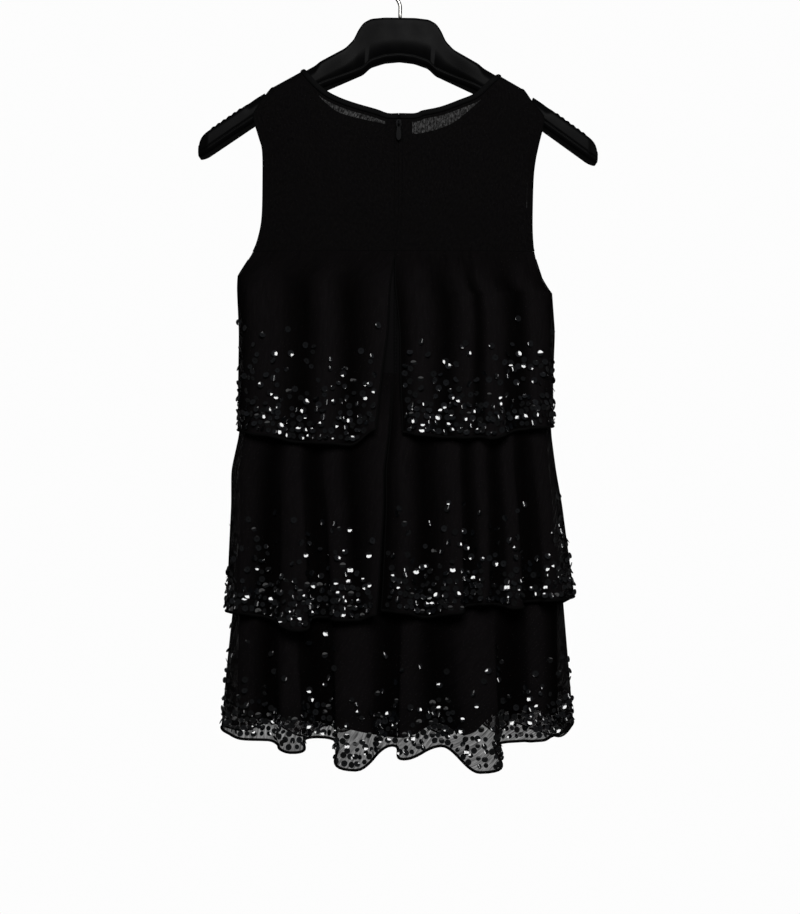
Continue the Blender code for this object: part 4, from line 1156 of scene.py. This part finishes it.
def hanger_piece():
    """The hanger's body, moulded in one piece."""
    outline = np.array(HANGER_OUTLINE)
    last = outline[-1, 0]
    half = np.concatenate([np.arange(*steps) for steps in HANGER_STEPS] + [[last]])
    places = np.concatenate((-half[:0:-1], half))

    def softened(values, reach):
        shifts = (-reach, 0.0, reach)
        total = sum(np.interp(np.abs(places) + shift, outline[:, 0], values) for shift in shifts)
        return total / 3 * HANGER_PIXEL + HANGER_TOP

    reach = np.clip((last - np.abs(places)) * 0.4, 0.0, 1.4)
    reach = np.minimum(reach, np.clip((np.abs(np.abs(places) - NOTCH) - 3.0) * 0.5, 0.2, 1.4))
    edges = zip(places * HANGER_PIXEL, softened(outline[:, 1], reach), softened(outline[:, 2], reach))
    rings = [(across, np.array(hanger_ring(across, top, bottom))) for across, top, bottom in edges]
    for end in (0, -1):
        across, ring = rings[end]
        centre = ring.mean(axis=0)
        caps = [(across + math.copysign(1.6 * math.sin(turn), across),
                 centre + (ring - centre) * math.cos(turn)) for turn in (0.5, 0.95, 1.3)]
        rings = caps[::-1] + rings if end == 0 else rings + caps
    points = [hanger_to_world(across, y, down) for across, ring in rings for y, down in ring]
    item = piece("hanger_moulding", points, ring_faces(len(rings), len(rings[0][1])), "plastic")
    item.data.set_sharp_from_angle(angle=math.radians(55))
    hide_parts("hanger_body")


def hook_piece():
    """The round wire hook, its tip rounded."""
    drop = HOOK_RADIUS - HOOK_WIRE / 2
    path = [(HOOK_RADIUS * math.cos(math.radians(a)), drop - HOOK_RADIUS * math.sin(math.radians(a)))
            for a in range(-40, 213, 6)]
    foot = HANGER_TOP - 14.0 * HANGER_PIXEL - SEAM_GAP
    start = path[-1]
    bend = (start, (start[0] + 4.5, start[1] + 7.5), (0.0, foot - 22.0), (0.0, foot - 12.0))
    for s in np.linspace(0.08, 1.0, 13):
        path.append(tuple(sum(w * p[k] for w, p in zip(bezier(s), bend)) for k in (0, 1)))
    path += [(0.0, foot - 6.0), (0.0, foot - 1.8)]
    item = tube("hook_wire", [hanger_to_world(a, 0.0, d) for a, d in path], HOOK_WIRE / 2, 20, "steel")
    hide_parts("hanger_hook")


# Yoke

# Two points of the hanger's outline that the shoulders lie over, and how far they sit off its middle
ARM_INNER = (93.3, 39.7)
ARM_OUTER = (124.0, 57.0)
SHOULDER_SHIFT = 1.5


def shoulder_top(x, lift):
    """Height of the cloth's top line over the hanger's arms, extended straight to the middle."""
    beyond = abs(x / HANGER_PIXEL + SHOULDER_SHIFT) - ARM_INNER[0]
    down = ARM_INNER[1] + beyond * (ARM_OUTER[1] - ARM_INNER[1]) / (ARM_OUTER[0] - ARM_INNER[0])
    return hanger_to_world(x, 0.0, HANGER_TOP + down * HANGER_PIXEL)[2] + lift


def yoke_depth(x, height, out):
    """Distance of the yoke from the middle plane: over the arm, then easing onto the body."""
    lift = SHOULDER_CLEARANCE + 1.0 + (out - OVER_LINING)
    below = max(shoulder_top(x, lift) - height, 0.0)
    wide = ARM_HALF_DEPTH + lift
    dome = DOME_SHARE * ARM_HALF_DEPTH + lift
    over_arm = wide * math.sqrt(1 - (1 - min(below / dome, 1.0)) ** 2)
    settled = float(ease((below - 20.0) / 90.0))
    return max(over_arm * (1 - settled) + body_depth(x, height, out) * settled, SEAM_GAP / 2)


YOKE_LEVELS = (0.0, 0.0015, 0.004, 0.008, 0.014, 0.021, 0.03, 0.04, 0.052, 0.066, 0.082, 0.1, 0.12,
               *np.linspace(0.142, 1.0, 40))
SHOULDER_STEPS = 10
NECK_STEPS = 26
NECK_OVER_ARM = (0.0, 0.5, 1.2, 2.4, 4.5, 7.0, 9.5, 12.5, 15.5)


def armhole_edge(side, hand):
    """The yoke's armhole edge from the shoulder to its seam."""
    edge = [point for point in (ARMHOLE_LEFT if hand < 0 else ARMHOLE_RIGHT) if point[1] > YOKE_SEAM + 4]
    inset = FRONT_ARMHOLE_INSET if side == FRONT else 0.0
    edge = [(x - hand * inset * float(ease((edge[0][1] - z) / 25.0)), z) for x, z in edge]
    edge[0] = (edge[0][0], shoulder_top(edge[0][0], SHOULDER_CLEARANCE + 1.0))
    foot = YOKE_SEAM + SEAM_GAP / 2
    hand_limit = side_limit(side, hand, foot, 0.0)
    edge.append((on_body(side, hand * hand_limit, foot, OVER_LINING)[0], foot))
    return spline(edge, YOKE_LEVELS)


def shoulder_line(start, end):
    """The top line over one arm."""
    places = np.linspace(start, end, SHOULDER_STEPS + 1)
    return [(x, shoulder_top(x, SHOULDER_CLEARANCE + 1.0)) for x in places]


def neck_curve(points, hands):
    """A neckline, carried up to the shoulder corners on the hands named and close set over the arms."""
    points = list(points)
    for hand in hands:
        x = NECK_CORNERS[0 if hand < 0 else 1]
        corner = (x, shoulder_top(x, SHOULDER_CLEARANCE + 1.0))
        points = [corner] + points if hand < 0 else points + [corner]
    length = sum(math.dist(a, b) for a, b in zip(points, points[1:]))
    near = [distance / length for distance in NECK_OVER_ARM]
    first = near if -1 in hands else [0.0]
    last = [1 - share for share in reversed(near)] if 1 in hands else [1.0]
    between = np.linspace(first[-1], last[0], NECK_STEPS * len(hands) + 1)
    return spline(points, first[:-1] + list(between) + last[1:])


# Drags in the yoke: x at the shoulder, slope, half width, height
YOKE_DRAGS = ((-118, 0.34, 9, -0.7), (-92, 0.18, 12, 0.6), (-52, -0.08, 14, -0.5),
              (58, 0.12, 13, 0.6), (96, -0.22, 10, -0.7), (124, -0.3, 8, 0.5))


def yoke_crease(side, x, height):
    """Slack in the yoke: shallow drags from the shoulders, and a slight fullness over the seam."""
    drop = YOKE_SEAM - height
    drag = 0.0
    for start, slope, wide, deep in YOKE_DRAGS:
        away = (x - (start + slope * (-height - 150.0))) / wide
        drag += deep * math.exp(-away * away)
    soft = noise.noise(Vector((x / 45, height / 55, 4.0 * side)))
    return (drag + 0.9 * soft) * float(ease(-drop / 30.0)) * float(ease((-height - 165.0) / 45.0))


def yoke_grid(side, left, right, top):
    """Blends the four edges of a yoke panel into its outer points."""
    top = np.array(top)
    foot = YOKE_SEAM + SEAM_GAP / 2
    grid = []
    for level, start, end in zip(YOKE_LEVELS, left, right):
        line = []
        for point in top:
            share = (point[0] - top[0][0]) / (top[-1][0] - top[0][0])
            base = np.array((left[-1][0] + (right[-1][0] - left[-1][0]) * share, foot))
            flat = (1 - level) * point + level * base + (1 - share) * start + share * end
            flat -= ((1 - share) * (1 - level) * top[0] + share * (1 - level) * top[-1]
                     + (1 - share) * level * left[-1] + share * level * right[-1])
            x, height = flat
            still = float(ease(min(share, 1 - share) * 12))
            depth = yoke_depth(x, height, OVER_LINING) + yoke_crease(side, x, height) * still
            line.append((x, side * depth, height))
        grid.append(line)
    return np.array(grid)


def neck_inward(curve, hands):
    """Directions from a neckline into the cloth, upright at an end that isn't on a shoulder."""
    along = np.gradient(curve, axis=0)
    inward = np.column_stack((along[:, 1], -along[:, 0]))
    inward /= np.linalg.norm(inward, axis=1, keepdims=True)
    if -1 not in hands:
        inward[0] = (0.0, -1.0)
    if 1 not in hands:
        inward[-1] = (0.0, -1.0)
    return inward


# How far in from the neck's edge the rows of its facing lie
NECK_FACING = (0.4, 3.3, 6.2, 9.2)
FACING_THICKNESS = 0.3
FACING_LIFT = -CREPE - 0.1
DOUBLE_CLOTH = 0.2
ARMHOLE_ROLL = 0.75


def yoke_points(side, line):
    """Points of the yoke's outer face over a line of x and height."""
    return [(x, side * yoke_depth(x, height, OVER_LINING), height) for x, height in line]


def yoke_panel(name, side, left, right, top, hands, neck):
    """One panel of crepe with its edges turned in; the hidden front is of double cloth."""
    inward = neck_inward(neck, hands)
    strip = [yoke_points(side, neck + inward * reach) for reach in NECK_FACING]
    parts = [shell(name + "_neck_facing", side, strip, FACING_THICKNESS, "binding", FACING_LIFT)]
    grid = yoke_grid(side, left, right, top)
    double = np.full(grid.shape[:2], DOUBLE_CLOTH if side == FRONT else 0.0)
    cloth = shell(name + "_crepe", side, grid, CREPE, "crepe", values={"double": double})
    normals = grid_normals(side, grid)
    middle = grid - normals * CREPE / 2
    for hand in hands:
        column, inside, label = (0, 2, "left") if hand < 0 else (-1, -3, "right")
        parts.append(rolled_edge(f"{name}_{label}_armhole", middle[:, column], ARMHOLE_ROLL))
        parts.append(stitches(f"{name}_{label}_armhole_stitches", grid[4:, inside], normals[4:, inside]))
        strip = grid[3:, :3] if hand < 0 else grid[3:, -3:]
        parts.append(shell(f"{name}_{label}_facing", side, strip, FACING_THICKNESS, "binding", FACING_LIFT))
    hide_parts(name)
    sheet_of(grid)


# Each neckline: its name, side, points, and the shoulders that it reaches
NECKLINES = (("front", FRONT, FRONT_NECK, (-1, 1)), ("back_left", BACK, BACK_NECK_LEFT, (-1,)),
             ("back_right", BACK, BACK_NECK_RIGHT, (1,)))


def yoke():
    """The front yoke and the two halves of the back one, which meet along the zip."""
    left_top = shoulder_line(ARMHOLE_LEFT[0][0], NECK_CORNERS[0])[:-1]
    right_top = shoulder_line(NECK_CORNERS[1], ARMHOLE_RIGHT[0][0])[1:]
    middle = spline(CENTRE_BACK, YOKE_LEVELS)
    middle[-1][1] = YOKE_SEAM + SEAM_GAP / 2
    gap = np.array((SEAM_GAP / 2, 0.0))
    for name, side, points, hands in NECKLINES:
        neck = neck_curve(points, hands)
        top = [tuple(point) for point in neck]
        left, right = middle + gap, middle - gap
        if -1 in hands:
            top, left = left_top + top, armhole_edge(side, -1)
        if 1 in hands:
            top, right = top + right_top, armhole_edge(side, 1)
        yoke_panel("yoke_" + name, side, left, right, top, hands, neck)


BINDING_WIDTH = 5.5
BINDING_HALF_THICKNESS = 1.0


def neck_binding(name, side, points, hands):
    """A folded band that takes in the neck's edge, with a row of stitches along its lower side."""
    curve = neck_curve(points, hands)
    inward = neck_inward(curve, hands)
    lines = np.array([yoke_points(side, curve + inward * BINDING_WIDTH * share) for share in (0.0, 0.5, 1.0)])
    normals = grid_normals(side, lines)
    middle, out = lines[1], normals[1]
    down = lines[2] - lines[0]
    down /= np.linalg.norm(down, axis=1, keepdims=True)
    sides = 18
    points = []
    for k in range(sides):
        cos, sin = math.cos(2 * math.pi * k / sides), math.sin(2 * math.pi * k / sides)
        wide = squared(cos, 0.5) * (BINDING_WIDTH / 2 + 0.25)
        thick = squared(sin, 0.7) * BINDING_HALF_THICKNESS
        pucker = 0.12 * np.sin(np.arange(len(middle)) * 2.3 + 5 * cos)
        points.append(middle + down * wide + out * (thick + 0.45 + pucker[:, None] * max(sin, 0.0)))
    points = np.array(points).transpose(1, 0, 2)
    points[:, :, 1] = side * np.maximum(side * points[:, :, 1], SEAM_GAP / 2)
    rings = len(middle)
    faces = []
    for ring in range(rings - 1):
        for k in range(sides):
            a, b = ring * sides + k, ring * sides + (k + 1) % sides
            faces.append((a, a + sides, b + sides, b))
    faces += [tuple(range(sides)), tuple(range(rings * sides - sides, rings * sides))[::-1]]
    if side == FRONT:
        faces = [face[::-1] for face in faces]
    item = piece(name + "_satin", points.reshape(-1, 3), faces, "binding")
    length = line_length(middle)
    lay_threads(item, np.repeat(length, sides), np.tile(np.linspace(0, 14.0, sides), rings))
    seam = stitches(name + "_stitches", (lines[2] - down * 1.0 + normals[2] * 1.25)[6:-2],
                    normals[2][6:-2], BINDING_STITCH_PITCH)
    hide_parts(name)


# Zip

def centre_back(height, inside):
    """The centre-back line at a height, and how deep a layer inside the yoke lies there."""
    x = float(np.interp(-height, [-z for _, z in CENTRE_BACK], [x for x, _ in CENTRE_BACK]))
    return x, -yoke_depth(x, height, OVER_LINING + inside)


COIL_OUT = -1.35
COIL_PITCH = 1.5
TAPE_SEAM_ACROSS = 4.2


def zip_tape():
    """The knitted tape behind the centre-back edges, its coil of teeth and its rows of stitches."""
    top = BACK_NECK_LEFT[-1][1] - 0.5
    inside = -1.0 - SEAM_GAP - 0.2
    grid = []
    for height in np.linspace(top, TAPE_END, 90):
        middle = centre_back(height, 0.0)[0]
        grid.append([(middle + shift, -yoke_depth(middle + shift, height, inside), height)
                     for shift in np.linspace(-TAPE_WIDTH / 2, TAPE_WIDTH / 2, 13)])
    tape = shell("zip_tape_knit", BACK, grid, 0.5, "tape")
    tooth = pattern_object("tooth_pattern", *tooth_shape())
    heights = np.linspace(top - 4, TAPE_END + 2, 200)
    line = np.array([(*centre_back(height, COIL_OUT), height) for height in heights])
    line[:, 1] += 0.1
    base = carrier(line, np.tile((0.0, -1.0, 0.0), (len(line), 1)))
    teeth = grown("zip_teeth", base, "row", "coil", Shape=tooth, Pitch=COIL_PITCH * MM)
    bpy.data.objects.remove(tooth, do_unlink=True)
    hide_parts("zip_tape")
    sheet_of(grid)
    heights = np.linspace(top - 9, YOKE_SEAM + 3, 60)
    for label, shift in (("left", -TAPE_SEAM_ACROSS), ("right", TAPE_SEAM_ACROSS)):
        line = [(centre_back(height, 0.0)[0] + shift, height) for height in heights]
        points = [(x, -yoke_depth(x, height, OVER_LINING + 0.1), height) for x, height in line]
        seam = stitches(f"zip_{label}_stitches", points, np.tile((0.0, -1.0, 0.0), (len(points), 1)))


def tooth_shape():
    """One turn of the zip's coil: a low rounded bar across the tape."""
    points = []
    for x in (-0.45, 0.45):
        points += [(x, y, z) for y, z in ((-2.1, 0.0), (-1.7, 0.5), (1.7, 0.5), (2.1, 0.0), (1.6, -0.35),
                                          (-1.6, -0.35))]
    faces = [(0, 1, 2, 3, 4, 5), (11, 10, 9, 8, 7, 6)]
    faces += [(k, k + 6, (k + 1) % 6 + 6, (k + 1) % 6) for k in range(6)]
    return points, faces


SLIDER_PLATE = 1.6
SLIDER_FACE = PULL_AXIS_Y + SLIDER_PLATE + 1.9


def box_outline(x, z, wide, tall, power, step):
    """An outline between an oval and a box, from its middle and half sizes."""
    return [(x + wide * squared(math.cos(turn), power), z + tall * squared(math.sin(turn), power))
            for turn in np.radians(np.arange(0, 360, step))]


def rounded_plate(name, outline, front, back, bevel, body, hole=()):
    """An enamelled plate in the XZ plane between two depths, its edges rounded, with an optional window."""
    curve = bpy.data.curves.new(name, "CURVE")
    curve.dimensions = "2D"
    curve.fill_mode = "BOTH"
    curve.extrude = (abs(back - front) / 2 - bevel) * MM
    curve.bevel_depth = bevel * MM
    curve.bevel_resolution = 2
    curve.offset = -bevel * MM
    for points in filter(len, (outline, hole)):
        line = curve.splines.new("POLY")
        line.points.add(len(points) - 1)
        for spot, (x, z) in zip(line.points, points):
            spot.co = (x * MM, z * MM, 0.0, 1.0)
        line.use_cyclic_u = True
    source = linked(name + "_outline", curve)
    ready = bpy.context.evaluated_depsgraph_get()
    mesh = bpy.data.meshes.new_from_object(source.evaluated_get(ready), depsgraph=ready)
    bpy.data.objects.remove(source, do_unlink=True)
    places = np.empty(len(mesh.vertices) * 3)
    mesh.vertices.foreach_get("co", places)
    places = places.reshape(-1, 3) / MM
    points = np.column_stack((places[:, 0], -places[:, 2] + (front + back) / 2, places[:, 1]))
    faces = [tuple(polygon.vertices) for polygon in mesh.polygons]
    bpy.data.meshes.remove(mesh)
    item = piece(name, points, faces, "enamel", body)
    item.data.set_sharp_from_angle(angle=math.radians(14))
    return item


SLIDER_HALF = (3.2, 4.3)
BAIL_RADIUS = 0.62
BAR_RADIUS = 0.6


def zip_slider():
    """The slider's plate and the bail that holds the pull."""
    x, z = PULL_AXIS
    outline = box_outline(x, z, *SLIDER_HALF, 0.6, 10)
    plate = rounded_plate("slider_plate", outline, SLIDER_FACE - SLIDER_PLATE, SLIDER_FACE, 0.3, "dress")
    sunk = SLIDER_FACE - SLIDER_PLATE + 0.4
    arch = [(x, sunk - 4.0 * math.sin(turn), z + 2.8 * math.cos(turn))
            for turn in np.radians(np.linspace(0, 180, 15))]
    bail = tube("slider_bail", arch, BAIL_RADIUS, 10, "enamel")
    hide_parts("zip_slider")


# Right half of the pull's outline, from its bar down: across, down
PULL_HALF = ((2.05, 0.55), (2.05, -5.0), (2.3, -7.5), (2.7, -10.5), (2.8, -14.0), (2.5, -16.5),
             (1.5, -18.2), (0.5, -19.0))
PULL_HALF_THICKNESS = 0.55


def zip_pull():
    """The pull tab with its window and the bar that turns in the bail."""
    x, z = PULL_AXIS
    right = spline(PULL_HALF, np.linspace(0.0, 1.0, 30))
    right[:, 0] = np.minimum(right[:, 0], 2.8)
    outline = [(x + a, z + d) for a, d in right] + [(x - a, z + d) for a, d in right[::-1]]
    hole = box_outline(x, z - 2.5, 1.1, 1.75, 0.45, 15)
    tab = rounded_plate("pull_tab", outline, PULL_AXIS_Y - PULL_HALF_THICKNESS,
                        PULL_AXIS_Y + PULL_HALF_THICKNESS, 0.25, "pull", hole)
    rod = [(x + a, PULL_AXIS_Y, z) for a in (-1.5, 0.0, 1.5)]
    bar = tube("pull_bar", rod, BAR_RADIUS, 12, "enamel", "pull")
    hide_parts("zip_pull")


# Putting the dress together

# Each tier's front, evenly gathered: folds, crest, trough, hem, drop, phase, and the sides' rows
FRONTS = {"1": (SIDE_FIRST, 5, 15.0, 10.5, -522.0, 5.0, 0.4),
          "2": (SIDE_SECOND, 7, 21.0, 10.0, -708.0, 9.0, 1.3),
          "3": (SIDE_THIRD, 7, 27.0, 7.0, -852.0, 14.0, 1.3)}
BACK_YOKE = ["yoke_back_left", "yoke_back_right"]
BACK_LINING = ["lining_back_left", "lining_back_right"]

# The tiers: name, side, folds, seam, rows of points, seed of the sequins, and what the panel rests on
TIERS = (
    ("tier_1_front", FRONT, front_folds(*FRONTS["1"]), YOKE_SEAM, 50, 11, ["yoke_front"]),
    ("tier_1_back_left", BACK, FIRST_TIER_LEFT, YOKE_SEAM, 52, 12, BACK_YOKE),
    ("tier_1_back_right", BACK, FIRST_TIER_RIGHT, YOKE_SEAM, 52, 13, BACK_YOKE),
    ("tier_2_front", FRONT, front_folds(*FRONTS["2"]), SECOND_TIER_SEAM, 50, 21, ["lining_front"]),
    ("tier_2_back_left", BACK, SECOND_TIER_LEFT, SECOND_TIER_SEAM, 56, 22, BACK_LINING[:1]),
    ("tier_2_back_right", BACK, SECOND_TIER_RIGHT, SECOND_TIER_SEAM, 56, 23, BACK_LINING[1:]),
    ("tier_3_front", FRONT, front_folds(*FRONTS["3"]), THIRD_TIER_SEAM, 48, 31, ["lining_front"]),
    ("tier_3_back", BACK, THIRD_TIER_BACK, THIRD_TIER_SEAM, 56, 32, BACK_LINING),
)


def dress():
    """The hanger, and the dress from its lining out to its zip."""
    hanger_piece()
    hook_piece()
    lining_panel("lining_front", FRONT, -1, 1)
    lining_panel("lining_back_left", BACK, -1, 0)
    lining_panel("lining_back_right", BACK, 0, 1)
    yoke()
    for name, side, points, hands in NECKLINES:
        neck_binding("neck_binding_" + name, side, points, hands)
    for tier in TIERS:
        tier_panel(*tier)
    zip_tape()
    zip_slider()
    zip_pull()
    for pattern in (STITCH, SEQUIN, KNOT):
        bpy.data.objects.remove(pattern, do_unlink=True)


# Studio

CAMERA_DISTANCE = 2.25
CAMERA_ACROSS = -0.0011
CAMERA_HEIGHT = -0.5533
SHARP_DEPTH = 0.015
PICTURE_HEIGHT = 914 * 0.0011
SENSOR = 36
MIDDLE = (0.0, 0.0, -0.55)
FLOOR_RADIUS = 0.5
FLOOR_HEIGHT = -1.35
# The room's brightness, as it lights the dress and as the camera sees it
ROOM_LIGHT = (0.03, 0.98)
# The lights: name, place, size, radiance
SOFTBOXES = (("key_above", (0.1, -1.5, 0.5), (1.15, 0.85), 7.5),
             ("strip_left", (-1.7, -0.5, -0.2), (0.15, 0.9), 1.8),
             ("strip_right", (1.7, -0.5, -0.2), (0.15, 0.9), 6.5))


def camera():
    """The photograph's view: level with the dress's middle, square to its back."""
    lens = bpy.data.cameras.new("camera")
    lens.sensor_fit = "VERTICAL"
    lens.sensor_height = SENSOR
    lens.lens = SENSOR * (CAMERA_DISTANCE - SHARP_DEPTH) / PICTURE_HEIGHT
    item = linked("camera", lens)
    item.location = (CAMERA_ACROSS, -CAMERA_DISTANCE, CAMERA_HEIGHT)
    item.rotation_euler = (math.pi / 2, 0, 0)
    bpy.context.scene.camera = item


def softbox(name, place, size, radiance):
    """A soft white light of a given brightness, which the camera doesn't see."""
    light = bpy.data.lights.new(name, "AREA")
    light.shape = "RECTANGLE"
    light.size, light.size_y = size
    light.energy = radiance * math.pi * size[0] * size[1]
    item = linked(name, light)
    item.location = place
    item.rotation_euler = (Vector(MIDDLE) - Vector(place)).to_track_quat("-Z", "Y").to_euler()
    item.visible_camera = False


def studio():
    """A white room that is brighter to the eye than to the cloth, soft lights and a pale floor."""
    scene = bpy.context.scene
    scene.view_settings.view_transform = "Standard"
    world = bpy.data.worlds.new("white_room")
    scene.world = world
    world.use_nodes = True
    tree = world.node_tree
    tree.nodes.clear()
    seen = add(tree, "ShaderNodeLightPath").outputs["Is Camera Ray"]
    lit, white = (add(tree, "ShaderNodeBackground",
                      {"Color": (1.0, 1.0, 1.0, 1.0), "Strength": strength}).outputs[0]
                  for strength in ROOM_LIGHT)
    mix = add(tree, "ShaderNodeMixShader", {0: seen, 1: lit, 2: white})
    add(tree, "ShaderNodeOutputWorld", {"Surface": mix.outputs[0]})
    for lamp in SOFTBOXES:
        softbox(*lamp)
    floor = bpy.data.meshes.new("floor")
    turns = np.linspace(0, 2 * math.pi, 64, endpoint=False)
    rim = [(FLOOR_RADIUS * math.cos(turn), FLOOR_RADIUS * math.sin(turn), FLOOR_HEIGHT) for turn in turns]
    floor.from_pydata(rim, [], [tuple(range(len(rim)))])
    floor.materials.append(new_look("painted_floor", "#f4f4f4", Roughness=0.8)[0])
    linked("floor", floor)


camera()
studio()
dress()
